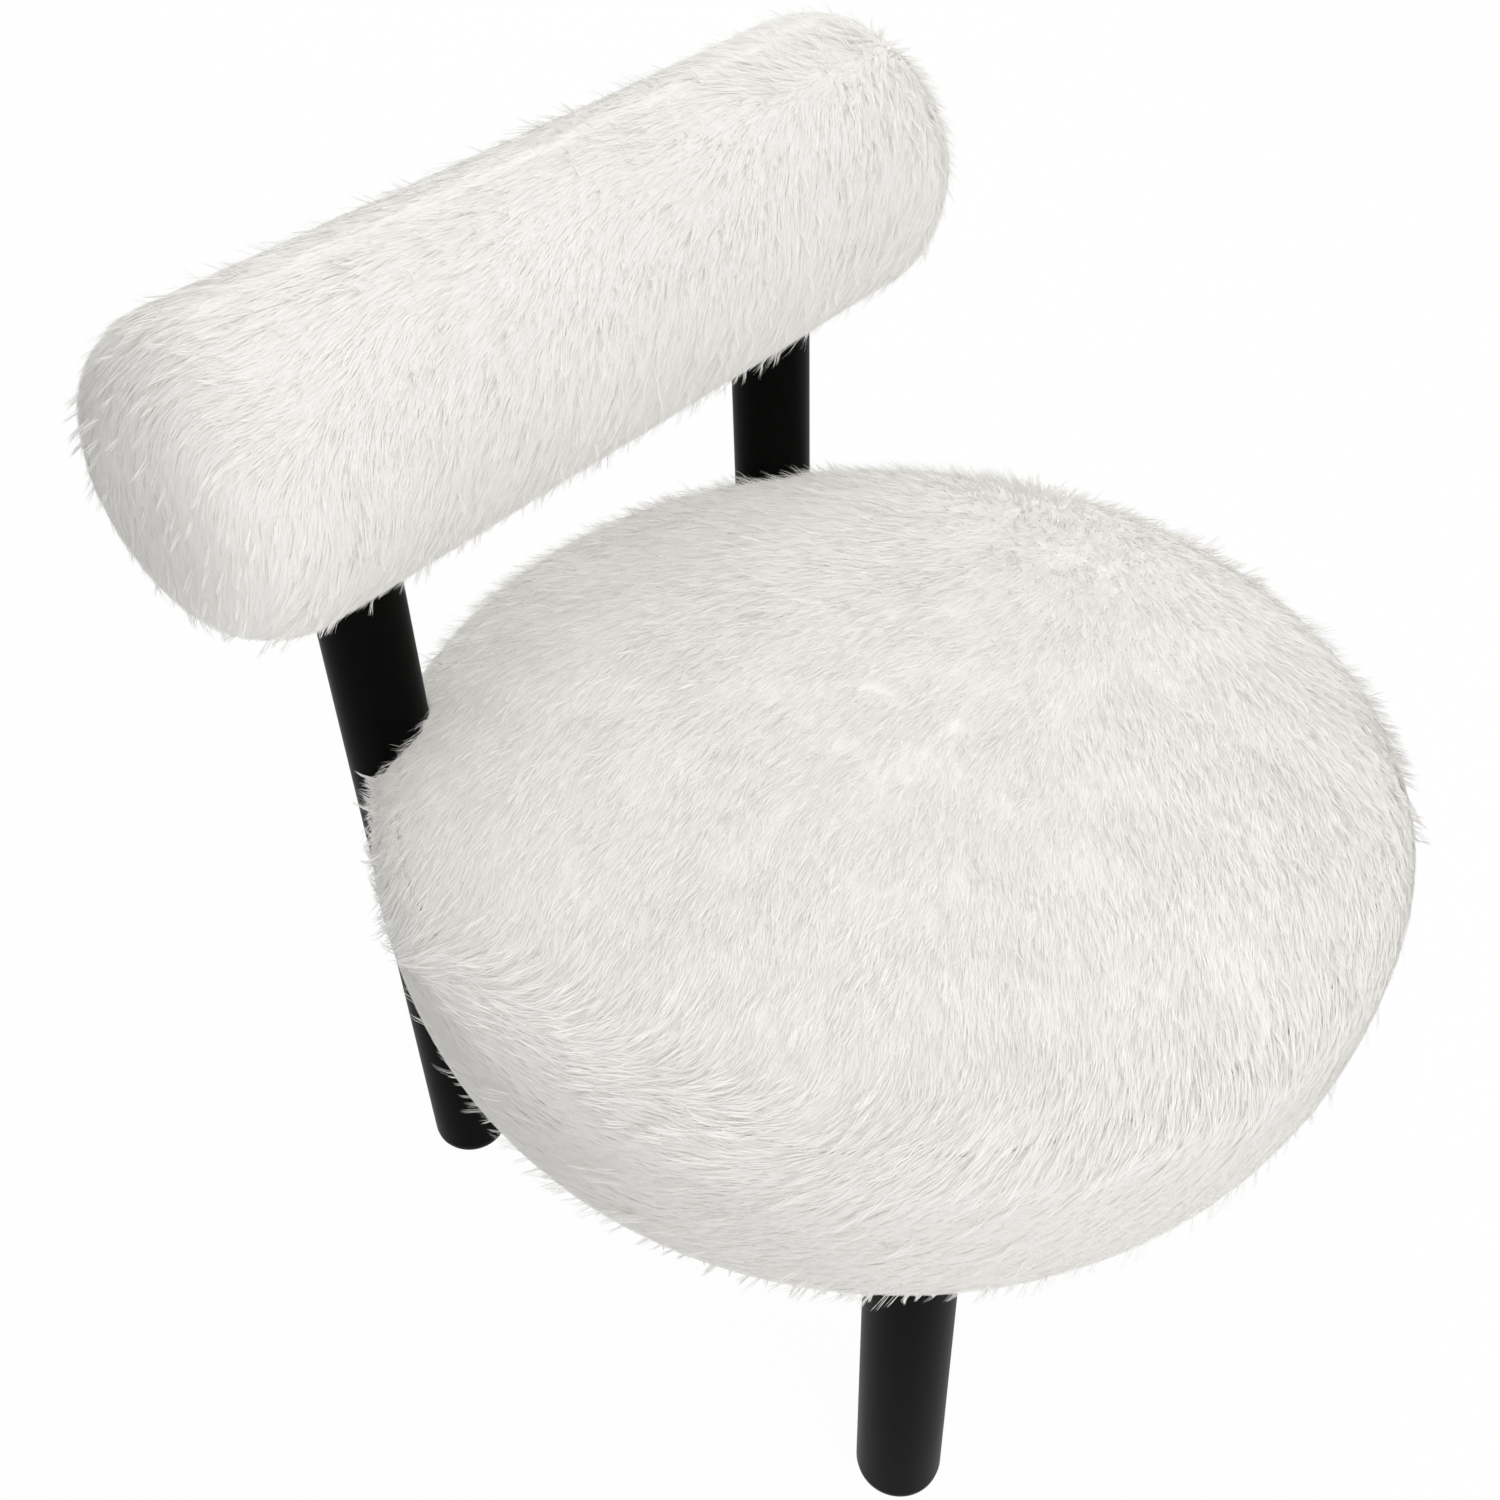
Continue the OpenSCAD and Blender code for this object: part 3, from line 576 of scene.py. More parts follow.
    @staticmethod
    def _woven(left: Array, right: Array, tip: Array) -> Array:
        """The ribbons' two edges and tips, one row a corner, in the mesh's order."""
        corners = np.empty((len(left), 2 * left.shape[1] + 1, 3))
        corners[:, 0:-1:2], corners[:, 1:-1:2], corners[:, -1] = left, right, tip
        return corners.reshape(-1, 3).astype(np.float32)

    def piece(self, name: str, chosen: Array, material: Material) -> Object:
        """Makes one mesh of some of the strands, as flat tapering ribbons.

        Args:
            name: the piece's name.
            chosen: which strands it takes.
            material: its finish.

        Returns:
            The new object.
        """
        points, across, outward = self.points[chosen], self.across[chosen], self.normals[chosen]
        count, stations = points.shape[:2]
        a_strand = 2 * stations - 1
        places = self._woven(points[:, :-1] - across[:, :-1], points[:, :-1] + across[:, :-1],
                             points[:, -1])
        quads = 2 * np.arange(stations - 2)[:, None] + np.array([1, 0, 2, 3])
        corners = [*quads.ravel(), a_strand - 2, a_strand - 3, a_strand - 1]
        loops = (np.arange(count)[:, None] * a_strand + np.array(corners)).ravel()
        sizes = np.tile([4] * (stations - 2) + [3], count)
        mesh = bpy.data.meshes.new(name)
        mesh.vertices.add(len(places))
        mesh.vertices.foreach_set("co", places.ravel())
        mesh.loops.add(loops.size)
        mesh.loops.foreach_set("vertex_index", loops.astype(np.int32))
        mesh.polygons.add(len(sizes))
        starts = np.concatenate([[0], np.cumsum(sizes)[:-1]])
        mesh.polygons.foreach_set("loop_start", starts.astype(np.int32))
        mesh.polygons.foreach_set("use_smooth", np.ones(len(sizes), bool))
        run = np.tile(np.array([*np.repeat(STATIONS[:-1], 2), 1.0], np.float32), count)
        shade = np.repeat(self.shade[chosen], a_strand).astype(np.float32)
        for label, numbers in (("pile_run", run), ("pile_shade", shade)):
            mesh.attributes.new(label, "FLOAT", "POINT").data.foreach_set("value", numbers)
        edge = np.tile([-1.0, 1.0] * (stations - 1) + [0.0], count) * 0.003
        flat = np.stack([0.01 + 0.98 * (shade + edge), 0.01 + 0.98 * run], axis=1)[loops]
        layer = mesh.uv_layers.new(name="OFBake", do_init=False)
        layer.uv.foreach_set("vector", flat.astype(np.float32).ravel())
        mesh.materials.append(material)
        mesh.update(calc_edges=True)
        way = np.gradient(points, axis=1)
        facing = unit(np.cross(way, across + 1e-9 * outward))
        facing[:, -1] = facing[:, -2]
        upright = np.abs(dot(unit(way), outward))
        matt = 1 - self.pile.gloss * self.liveliness[chosen][:, None, None]
        shown = unit(blend(facing, outward, matt * (1 - upright)))
        mesh.normals_split_custom_set_from_vertices(
            self._woven(shown[:, :-1], shown[:, :-1], shown[:, -1]))
        return new_object(name, mesh)


def _operator(kind: str, swapped: bool = False) -> Callable[["Value", "Value | float"], "Value"]:
    """An operator of Value, which adds a Math node of a kind."""

    def apply(self: "Value", other: "Value | float") -> "Value":
        return self.recipe.maths(kind, *((other, self) if swapped else (self, other)))

    return apply


@dataclass(frozen=True)
class Value:
    """A number in a material's nodes, on which sums add Math nodes. A comparison gives 1 or 0."""

    recipe: "Recipe"
    socket: NodeSocket

    __add__ = __radd__ = _operator("ADD")
    __mul__ = __rmul__ = _operator("MULTIPLY")
    __sub__, __rsub__ = _operator("SUBTRACT"), _operator("SUBTRACT", swapped=True)
    __pow__, __gt__ = _operator("POWER"), _operator("GREATER_THAN")


class Recipe:
    """A material or world while its nodes are put together."""

    def __init__(self, owner: Material | bpy.types.World,
                 ending: str = "ShaderNodeOutputMaterial") -> None:
        """Empties the owner's nodes and adds its output."""
        self.owner = owner
        owner.use_nodes = True
        self.tree = owner.node_tree
        self.tree.nodes.clear()
        self.output = self.node(ending)

    def node(self, kind: str, sockets: dict | None = None, **settings: object) -> Node:
        """Adds one node.

        Args:
            kind: the node's type.
            sockets: values, Values or other sockets for its inputs, by name or number.
            settings: the node's settings, which are set first.

        Returns:
            The node.
        """
        node = self.tree.nodes.new(kind)
        for name, item in settings.items():
            setattr(node, name, item)
        for name, item in (sockets or {}).items():
            entry = node.inputs[name]
            if isinstance(item, Value):
                item = item.socket
            if isinstance(item, NodeSocket):
                self.tree.links.new(item, entry)
            elif entry.type == "RGBA" and len(item) == 3:
                entry.default_value = (*item, 1.0)
            else:
                entry.default_value = item
        return node

    def end(self, shader: Node) -> None:
        """Joins the last shader to the output."""
        self.tree.links.new(shader.outputs[0], self.output.inputs["Surface"])

    def value(self, node: Node, output: str | int = 0) -> Value:
        """One of a node's outputs as a number."""
        return Value(self, node.outputs[output])

    def maths(self, kind: str, *items: Value | float) -> Value:
        """A Math node's result."""
        return self.value(self.node("ShaderNodeMath", dict(enumerate(items)), operation=kind))

    def place(self, scale: Triple = (1, 1, 1), turn: Triple = (0, 0, 0)) -> NodeSocket:
        """The place on the piece, stretched and turned."""
        where = self.node("ShaderNodeTexCoord").outputs["Object"]
        return self.node("ShaderNodeMapping", {
            "Vector": where, "Scale": scale, "Rotation": turn}).outputs[0]

    def axes(self) -> list[Value]:
        """The place's x, y and z, in metres."""
        parts = self.node("ShaderNodeSeparateXYZ", {"Vector": self.place()})
        return [self.value(parts, axis) for axis in range(3)]

    def noise(self, scale: float, detail: float, stretch: Triple = (1, 1, 1),
              turn: Triple = (0, 0, 0)) -> Value:
        """Noise from 0 to 1, with scale swells a metre."""
        return self.value(self.node("ShaderNodeTexNoise", {
            "Vector": self.place(stretch, turn), "Scale": scale, "Detail": detail, "Roughness": 0.55}))

    def wave(self, phase: Value) -> Value:
        """A wave from 0 to 1 of a number of radians."""
        return self.maths("SINE", phase) * 0.5 + 0.5

    def mix(self, factor: Value, first: object, second: object) -> NodeSocket:
        """A blend of two colours."""
        return self.node("ShaderNodeMix", {0: factor, 6: first, 7: second}, data_type="RGBA").outputs[2]

    def bump(self, height: Value, strength: float, distance: float) -> NodeSocket:
        """A normal from a height."""
        return self.node("ShaderNodeBump", {
            "Height": height, "Strength": strength, "Distance": distance}).outputs[0]

    def surface(self, colour: object, roughness: object, normal: object = None,
                **constants: object) -> Material:
        """Ends the material with its shader.

        Args:
            colour: Base Color, as a value or a socket.
            roughness: Roughness, as a value or a Value.
            normal: Normal, if it has one.
            constants: other sockets' values, with _ for spaces.

        Returns:
            The finished material.
        """
        sockets = {"Base Color": colour, "Roughness": roughness}
        if normal is not None:
            sockets["Normal"] = normal
        sockets |= {name.replace("_", " "): item for name, item in constants.items()}
        self.end(self.node("ShaderNodeBsdfPrincipled", sockets))
        return self.owner


MADE: dict["Finish", Material] = {}


@dataclass(frozen=True)
class Finish:
    """What a piece is made of and how it looks."""

    name: str

    def material(self) -> Material:
        """The finish as a material, made once."""
        if self not in MADE:
            MADE[self] = self.make(Recipe(bpy.data.materials.new(f"{self.name}_finish")))
        return MADE[self]

    def make(self, recipe: Recipe) -> Material:
        """Puts the material together."""
        raise NotImplementedError


@dataclass(frozen=True)
class Layer:
    """Noise on a piece, and how far it goes into its colour, roughness and relief."""

    scale: float
    detail: float | None
    colour: float = 0.0
    roughness: float = 0.0
    relief: float = 0.0
    stretch: Triple = (1, 1, 1)
    turn: Triple = (0, 0, 0)
    above: float | None = None

    def value(self, recipe: Recipe) -> Value:
        """The noise, or 1 where it passes a level; without detail it is small round cells."""
        if self.detail is None:
            return recipe.value(recipe.node("ShaderNodeTexVoronoi", {
                "Vector": recipe.place(), "Scale": self.scale}))
        noise = recipe.noise(self.scale, self.detail, self.stretch, self.turn)
        return noise if self.above is None else noise > self.above


@dataclass(frozen=True)
class Layered(Finish):
    """A finish that goes from one colour to another by its layers of noise."""

    first: Colour
    second: Colour
    roughness: float
    layers: tuple[Layer, ...]
    strength: float
    distance: float
    specular: float = 0.5
    metallic: float = 0.0

    def make(self, recipe: Recipe) -> Material:
        """Sums the layers up."""
        values = [layer.value(recipe) for layer in self.layers]

        def total(part: str, start: float = 0.0) -> Value | float:
            shares = [getattr(layer, part) for layer in self.layers]
            return sum((share * value for share, value in zip(shares, values) if share), start)

        return recipe.surface(
            recipe.mix(total("colour"), self.first, self.second), total("roughness", self.roughness),
            recipe.bump(total("relief"), self.strength, self.distance),
            Specular_IOR_Level=self.specular, Metallic=self.metallic)


def wood(name: str, grain: Triple, light: Colour = (0.60, 0.40, 0.235),
         dark: Colour = (0.44, 0.27, 0.145)) -> Layered:
    """Planed wood with short flecks and long grain, along the axis on which grain is small."""
    flecks = tuple(min(1.0, 4 * item) for item in grain)
    return Layered(name, light, dark, 0.58, (
        Layer(240.0, 5.0, colour=0.85, roughness=0.12, relief=1.0, stretch=grain),
        Layer(900.0, 2.0, colour=0.15, stretch=flecks, above=0.62)), 0.25, 0.0006)


def metal(name: str, bright: Colour, dull: Colour, roughness: float) -> Layered:
    """Plated or turned metal, spangled and finely scratched."""
    return Layered(name, dull, bright, roughness, (
        Layer(350.0, 4.0, colour=1.0, roughness=0.18),
        Layer(2600.0, 2.0, relief=1.0, stretch=(1.0, 0.1, 1.0))), 0.15, 0.0001, metallic=1.0)


@dataclass(frozen=True)
class Fur(Finish):
    """Off-white silky strands, a little warmer towards the roots and darker there as painted shade,
    which shows in the gaps and partings between tufts.
    """

    # painted shade: the darker root colour stands in for the shade in gaps and partings
    root: Colour = (0.800, 0.785, 0.750)
    tip: Colour = (0.985, 0.980, 0.962)
    dull: Colour = (0.820, 0.809, 0.782)

    def make(self, recipe: Recipe) -> Material:
        """Colours by the run along each strand, darker at the roots as painted shade, and by the
        strand's random shade.
        """
        run, shade = (recipe.value(recipe.node("ShaderNodeAttribute", attribute_name=label), "Fac")
                      for label in ("pile_run", "pile_shade"))
        ends = recipe.mix(shade, self.dull, self.tip)
        return recipe.surface(recipe.mix(run ** 0.55, self.root, ends), 0.62, Specular_IOR_Level=0.18)


@dataclass(frozen=True)
class Lacquer(Finish):
    """Satin black paint on turned wood, rubbed brown at the foot's edge."""

    paint: Colour = (0.0018, 0.0018, 0.0018)
    faded: Colour = (0.0030, 0.0029, 0.0027)
    rubbed: Colour = (0.040, 0.022, 0.013)
    rub_low: float = 0.003
    rub_high: float = 0.011

    def make(self, recipe: Recipe) -> Material:
        """Fine grain under the paint, uneven sheen and rubbed foot edges."""
        grain = recipe.noise(900.0, 4.0, (1.0, 1.0, 0.04))
        peel = recipe.noise(1400.0, 2.0)
        patches = recipe.noise(22.0, 3.0, (1.0, 1.0, 0.35))
        low = recipe.node("ShaderNodeMapRange", {
            "Value": recipe.axes()[2], "From Min": self.rub_low, "From Max": self.rub_high,
            "To Min": 1.0, "To Max": 0.0}, clamp=True)
        chips = recipe.noise(260.0, 5.0) > 0.50
        rub = recipe.value(low) * (0.35 + 0.65 * chips)
        paint = recipe.mix(patches, self.paint, self.faded)
        colour = recipe.mix(rub * 0.7, paint, self.rubbed)
        roughness = 0.30 + 0.10 * patches + 0.05 * grain + 0.15 * rub
        return recipe.surface(colour, roughness, recipe.bump(grain * 0.6 + peel * 0.4, 0.10, 0.0004),
                              Specular_IOR_Level=0.02)


@dataclass(frozen=True)
class Plywood(Finish):
    """Birch plywood: plain faces and striped edges."""

    face: Colour = (0.68, 0.52, 0.34)
    streak: Colour = (0.56, 0.40, 0.24)
    core: Colour = (0.42, 0.27, 0.15)
    ply: float = 0.0015

    def make(self, recipe: Recipe) -> Material:
        """Grain on the faces and plies on the edges."""
        lines = recipe.noise(150.0, 4.0, (0.07, 1.0, 1.0))
        plies = recipe.wave(recipe.axes()[2] * (math.pi / self.ply)) > 0.5
        normal = recipe.node("ShaderNodeNewGeometry").outputs["Normal"]
        level = recipe.value(recipe.node("ShaderNodeSeparateXYZ", {"Vector": normal}), 2)
        edge = 1.0 - (level * level > 0.25)
        face = recipe.mix(lines, self.face, self.streak)
        colour = recipe.mix(edge * plies * 0.75, face, self.core)
        return recipe.surface(colour, 0.6 + 0.15 * lines, recipe.bump(lines, 0.2, 0.0004))


@dataclass(frozen=True)
class Webbing(Finish):
    """Elastic webbing: a plain weave with two coloured lines along each strap."""

    across: int
    centre: float = 0.0
    cloth: Colour = (0.10, 0.09, 0.08)
    line: Colour = (0.45, 0.12, 0.06)
    pitch: float = 0.062
    thread: float = 0.0022
    line_at: float = 0.017
    line_half: float = 0.0016

    def make(self, recipe: Recipe) -> Material:
        """Over and under threads, and the lines, with painted shade where the threads dip."""
        spot = recipe.axes()
        across, turns = spot[self.across], math.pi / self.thread
        warp, weft = recipe.wave(across * turns), recipe.wave(spot[1 - self.across] * turns)
        over = (recipe.wave(across * (turns / 2)) > 0.5) * weft
        height = warp * 0.6 + over * 0.4
        share = (across - self.centre) * (1 / self.pitch) + 0.5
        place = recipe.maths("ABSOLUTE", recipe.maths("FRACT", share + 8.0) - 0.5)
        far = place - self.line_at / self.pitch
        lined = 1.0 - (far * far > (self.line_half / self.pitch) ** 2)
        # painted shade: a darker copy of the cloth, and fainter lines, where the weave dips
        shown = recipe.mix(height, tuple(item * 0.55 for item in self.cloth), self.cloth)
        colour = recipe.mix(lined * (0.5 + 0.5 * height), shown, self.line)
        return recipe.surface(colour, 0.8, recipe.bump(height, 0.7, 0.0008), Specular_IOR_Level=0.2)


@dataclass(frozen=True)
class DustCloth(Finish):
    """Thin black non-woven cloth with a field of bonded dots."""

    colour: Colour = (0.020, 0.020, 0.021)
    fibre: Colour = (0.050, 0.050, 0.050)
    dot: float = 0.0026

    def make(self, recipe: Recipe) -> Material:
        """Bonded dots between matted fibres."""
        x, y, _ = recipe.axes()
        turns = FULL_TURN / self.dot / 1.414
        dots = (recipe.wave((x + y) * turns) * recipe.wave((x - y) * turns)) > 0.45
        fibres = recipe.noise(1500.0, 6.0)
        colour = recipe.mix(fibres * (1.0 - 0.6 * dots), self.colour, self.fibre)
        normal = recipe.bump(fibres * 0.5 - dots * 0.5, 0.6, 0.0005)
        return recipe.surface(colour, 0.85 - 0.2 * dots, normal, Specular_IOR_Level=0.2)


@dataclass(frozen=True)
class Paperboard(Finish):
    """Board wound in a spiral round the bolster's core."""

    face: Colour = (0.42, 0.30, 0.18)
    fleck: Colour = (0.30, 0.20, 0.11)
    pitch: float = 0.11

    def make(self, recipe: Recipe) -> Material:
        """Pulp flecks and the spiral's joint."""
        x, y, z = recipe.axes()
        angle = recipe.maths("ARCTAN2", y - POST_Y, z - BOLSTER_Z)
        joint = recipe.wave(angle + x * (FULL_TURN / self.pitch)) > 0.995
        pulp = recipe.noise(700.0, 5.0)
        colour = recipe.mix(pulp * 0.7 + joint * 0.3, self.face, self.fleck)
        return recipe.surface(colour, 0.88, recipe.bump(pulp * 0.3 - joint * 0.7, 0.4, 0.0004))


FUR = Fur("fur")
UNDERFUR = Layered("underfur", (0.895, 0.884, 0.856), (0.930, 0.922, 0.898), 0.8, (
    Layer(420.0, 4.0, colour=0.6, relief=1.0, stretch=(1.0, 1.0, 0.22)),
    Layer(60.0, 3.0, colour=0.4)), 0.5, 0.002, specular=0.2)
NYLON = Layered("nylon", (0.035, 0.035, 0.036), (0.12, 0.12, 0.12), 0.5, (
    Layer(3000.0, 2.0, relief=1.0),
    Layer(500.0, 5.0, colour=0.5, roughness=0.2, stretch=(1.0, 0.2, 1.0), above=0.6)), 0.3, 0.0002)
FOAM = Layered("foam", (0.62, 0.52, 0.32), (0.82, 0.72, 0.48), 0.92, (
    Layer(700.0, None, colour=1.0, relief=1.0),), 0.6, 0.001, specular=0.1)
WADDING = Layered("wadding", (0.68, 0.68, 0.67), (0.84, 0.84, 0.83), 0.95, (
    Layer(600.0, 6.0, colour=0.7, relief=1.0, stretch=(1.0, 0.25, 1.0), turn=(0.3, 0.5, 0.7)),
    Layer(40.0, 2.0, colour=0.3)), 0.6, 0.0015, specular=0.1)
# What each kept solid is made of
CAD_FINISHES: dict[Finish, str] = {
    Lacquer("black_lacquer"): "front_leg_left front_leg_right rear_post_left rear_post_right",
    NYLON: "foot_glides",
    metal("zinc", (0.62, 0.63, 0.65), (0.42, 0.43, 0.45), 0.32):
        "leg_hanger_bolts leg_tee_nuts webbing_staples frame_screws post_bolts post_bolt_washers "
        "hem_staples bolster_lock_screws",
    metal("brass", (0.68, 0.50, 0.20), (0.50, 0.35, 0.13), 0.25): "post_inserts",
    Plywood("plywood"): "base_board top_ring rim_band",
    wood("disc_face", (1.0, 0.07, 1.0), (0.68, 0.52, 0.34), (0.56, 0.40, 0.24)):
        "bolster_end_disc_left bolster_end_disc_right",
    wood("beech_upright", (1.0, 1.0, 0.05)): "frame_struts post_block_left post_block_right",
    wood("beech_level", (0.05, 1.0, 1.0)): "bolster_socket_left bolster_socket_right",
    Paperboard("paperboard"): "bolster_tube",
    Webbing("webbing_across", 1, SEAT_Y): "webbing_side_to_side",
    Webbing("webbing_along", 0): "webbing_front_to_back",
    FOAM: "seat_foam side_foam bolster_foam bolster_end_pad_left bolster_end_pad_right",
    WADDING: "seat_wadding bolster_wadding",
}


def new_object(name: str, data: bpy.types.ID) -> Object:
    """A new object in the scene."""
    made = bpy.data.objects.new(name, data)
    bpy.context.scene.collection.objects.link(made)
    return made


def new_piece(name: str, places: Array, faces: list[list[int]],
              material: Material | None = None) -> Object:
    """A new object with a mesh, smooth if it has a material."""
    mesh = bpy.data.meshes.new(name)
    mesh.from_pydata(places.tolist(), [], faces)
    if material is not None:
        mesh.polygons.foreach_set("use_smooth", np.ones(len(mesh.polygons), bool))
        mesh.materials.append(material)
    return new_object(name, mesh)


def lathe(form: RoundForm, loop: Array, seed: int) -> tuple[Array, list[list[int]]]:
    """Turns a closed half section about a form's axis, with slight lumps.

    Args:
        form: whose axis is used.
        loop: the section's corners as radius and height; corners on the axis become single points.
        seed: which lumps.

    Returns:
        Places and faces.
    """
    spokes = form.spokes(ring_turns(LATHE_STEPS))
    places: list[Array] = []
    rows: list[range] = []
    for radius, height in loop:
        base = form.origin + height * form.axis
        places.append(base[None] if radius < 1e-5 else base + radius * spokes)
        first = rows[-1].stop if rows else 0
        rows.append(range(first, first + len(places[-1])))
    points = np.concatenate(places)
    outward = unit(points - (form.origin + form.inner[1] * form.axis))
    points = points + outward * (LATHE_LUMPS * drift(points, 0.032, seed))[:, None]
    faces = []
    for one, two in zip(rows, rows[1:] + rows[:1]):
        if len(one) == 1 and len(two) == 1:
            continue
        for index in range(LATHE_STEPS):
            after = (index + 1) % LATHE_STEPS
            face = [one[index % len(one)], one[after % len(one)], two[after % len(two)],
                    two[index % len(two)]]
            faces.append(list(dict.fromkeys(face)))
    return points, faces


def cut_posts(piece: Object) -> None:
    """Takes the legs' round holes out of a piece, with a gap."""
    turn, count, radius = ring_turns(HOLE_SIDES), HOLE_SIDES, LEG_R + HOLE_GAP
    sides = [[i, (i + 1) % count, count + (i + 1) % count, count + i] for i in range(count)]
    faces = [*sides, list(range(count - 1, -1, -1)), list(range(count, 2 * count))]
    for post in POSTS:
        ring = np.stack([post.x + radius * np.cos(turn), post.y + radius * np.sin(turn)], 1)
        corners = np.concatenate([np.insert(ring, 2, z, axis=1) for z in (0.0, post.high)])
        cutter = new_piece("cutter", corners, faces)
        modifier = piece.modifiers.new("cut", "BOOLEAN")
        modifier.operation, modifier.solver, modifier.object = "DIFFERENCE", "EXACT", cutter
        bpy.context.view_layer.update()
        graph = bpy.context.evaluated_depsgraph_get()
        result = bpy.data.meshes.new_from_object(piece.evaluated_get(graph))
        piece.modifiers.clear()
        piece.data = result
        bpy.data.objects.remove(cutter)


def report(piece: Object) -> None:
    """Logs a finished piece."""
    LOG.info("%s: %d faces", piece.name, len(piece.data.polygons))


class Upholstery:
    """What both furred sub-assemblies share."""

    def cover(self, name: str, form: RoundForm, loop: Array, seed: int, node: str) -> None:
        """Makes one dense cover, cut round the legs, in place of its solid.

        Args:
            name: the piece's name.
            form: whose axis it is turned about.
            loop: its closed half section.
            seed: which lumps it has.
            node: the solid that it replaces.
        """
        piece = new_piece(name, *lathe(form, loop, seed), UNDERFUR.material())
        cut_posts(piece)
        self._attach(piece)
        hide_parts(node)

    def grow(self, pelt: Pelt, name: str, chosen: Array) -> None:
        """Makes one piece of a pelt's strands."""
        self._attach(pelt.piece(name, chosen, FUR.material()))

    @staticmethod
    def _attach(piece: Object) -> None:
        """Fixes a furred piece to the chair."""
        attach(piece, BODY)
        report(piece)


@dataclass
class Seat(Upholstery):
    """The round seat's crown and side band."""

    pile: Pile = Pile(length=0.022, gloss=0.34, unevenness=1.6, flyaway_share=0.08)
    skin: float = 0.0038
    inset: float = 0.0020
    seam_dip: float = 0.0015
    sectors: int = 6

    def build(self) -> None:
        """Makes the covers, then the fur."""
        outline, inner = seat_outline(self.skin), seat_outline(LINING_INSET, BOARD_TOP_Z)
        form = seat_form(0.0)
        above, inner_above = (line[:, 1] >= SEAT_SEAM_Z for line in (outline, inner))
        crown = [self._lip(outline[above][0], -1), outline[above], inner[inner_above][::-1]]
        self.cover("seat_crown_cover", form, np.concatenate(crown), 3, "seat_cover_top")
        hem = np.array([
            [BOARD_R + 0.0004, BOARD_TOP_Z], [BOARD_R + 0.0004, BOARD_LOW_Z - 0.0002],
            [DUST_R - 0.018, BOARD_LOW_Z - 0.0002], [DUST_R - 0.018, BOARD_LOW_Z - 0.0014],
            [DUST_R + 0.0012, BOARD_LOW_Z - 0.0014], [DUST_R + 0.002, 0.2790], [0.2480, 0.2755],
            [0.2570, 0.2745], [0.2625, 0.2755],
        ])
        band = [outline[~above], self._lip(outline[~above][-1], 1), inner[~inner_above][::-1], hem]
        self.cover("seat_band_cover", form, np.concatenate(band), 4, "seat_cover_band")
        pelt = Pelt(seat_form(self.inset), self.pile, Flow.SEAT, 11)
        roots = pelt.points[:, 0]
        on_crown = roots[:, 2] > SEAT_SEAM_Z - 0.007
        turn = np.arctan2(roots[:, 1] - SEAT_Y, roots[:, 0]) / FULL_TURN + 0.5
        sector = np.minimum((turn * self.sectors).astype(int), self.sectors - 1)
        for label, part in (("crown", on_crown), ("band", ~on_crown)):
            for number in range(self.sectors):
                self.grow(pelt, f"seat_{label}_pile_{number + 1}", part & (sector == number))

    def _lip(self, corner: Array, end: int) -> Array:
        """The corner that rounds an outline in at the seam, under it for 1 and over it for -1."""
        return np.array([[corner[0] - self.seam_dip, SEAT_SEAM_Z - end * 0.0004]])


@dataclass
class Bolster(Upholstery):
    """The bolster's tube of fur and its two caps."""

    pile: Pile = Pile(length=0.026, depth=0.0019, gloss=0.30, stiffness=0.45, spring=0.004,
                      speckle=0.8, flyaway_share=0.03, flyaway_rise=0.0034, stray_turn=3.0,
                      ripple_turn=3.0, wander=0.0010)
    skin: float = 0.0056
    inset: float = 0.0038
    seam_dip: float = 0.003
    parts: int = 5

    def build(self) -> None:
        """Makes the covers, then the fur."""
        form = bolster_form(0.0)
        lines = bolster_outline(self.skin), bolster_outline(LINING_INSET)
        body, body_in = (line[np.abs(line[:, 1]) <= BOLSTER_SEAM] for line in lines)
        first, last = ([[body[end, 0] - self.seam_dip, height]]
                       for end, height in ((0, -BOLSTER_SEAM), (-1, BOLSTER_SEAM)))
        loop = np.concatenate([first, body, last, body_in[::-1]])
        self.cover("bolster_body_cover", form, loop, 5, "bolster_cover_body")
        for side, label in ((-1, "left"), (1, "right")):
            cap, cap_in = (line[line[:, 1] * side >= BOLSTER_SEAM] for line in lines)
            rim = cap[-1 if side < 0 else 0, 0]
            edge = np.array([[rim - self.seam_dip, side * (BOLSTER_SEAM + 0.0004)]])
            loop = np.concatenate([*((cap, edge) if side < 0 else (edge, cap)), cap_in[::-1]])
            self.cover(f"bolster_{label}_cap_cover", form, loop, 6, f"bolster_cover_end_{label}")
        pelt = Pelt(bolster_form(self.inset), self.pile, Flow.BOLSTER, 23)
        x = pelt.points[:, 0, 0]
        part = ((x + BOLSTER_SEAM) / (2 * BOLSTER_SEAM) * self.parts).astype(int)
        part = np.clip(part, 0, self.parts - 1)
        middle = np.abs(x) <= BOLSTER_SEAM
        for number in range(self.parts):
            self.grow(pelt, f"bolster_pile_{number + 1}", middle & (part == number))
        self.grow(pelt, "bolster_left_cap_pile", x < -BOLSTER_SEAM)
        self.grow(pelt, "bolster_right_cap_pile", x > BOLSTER_SEAM)


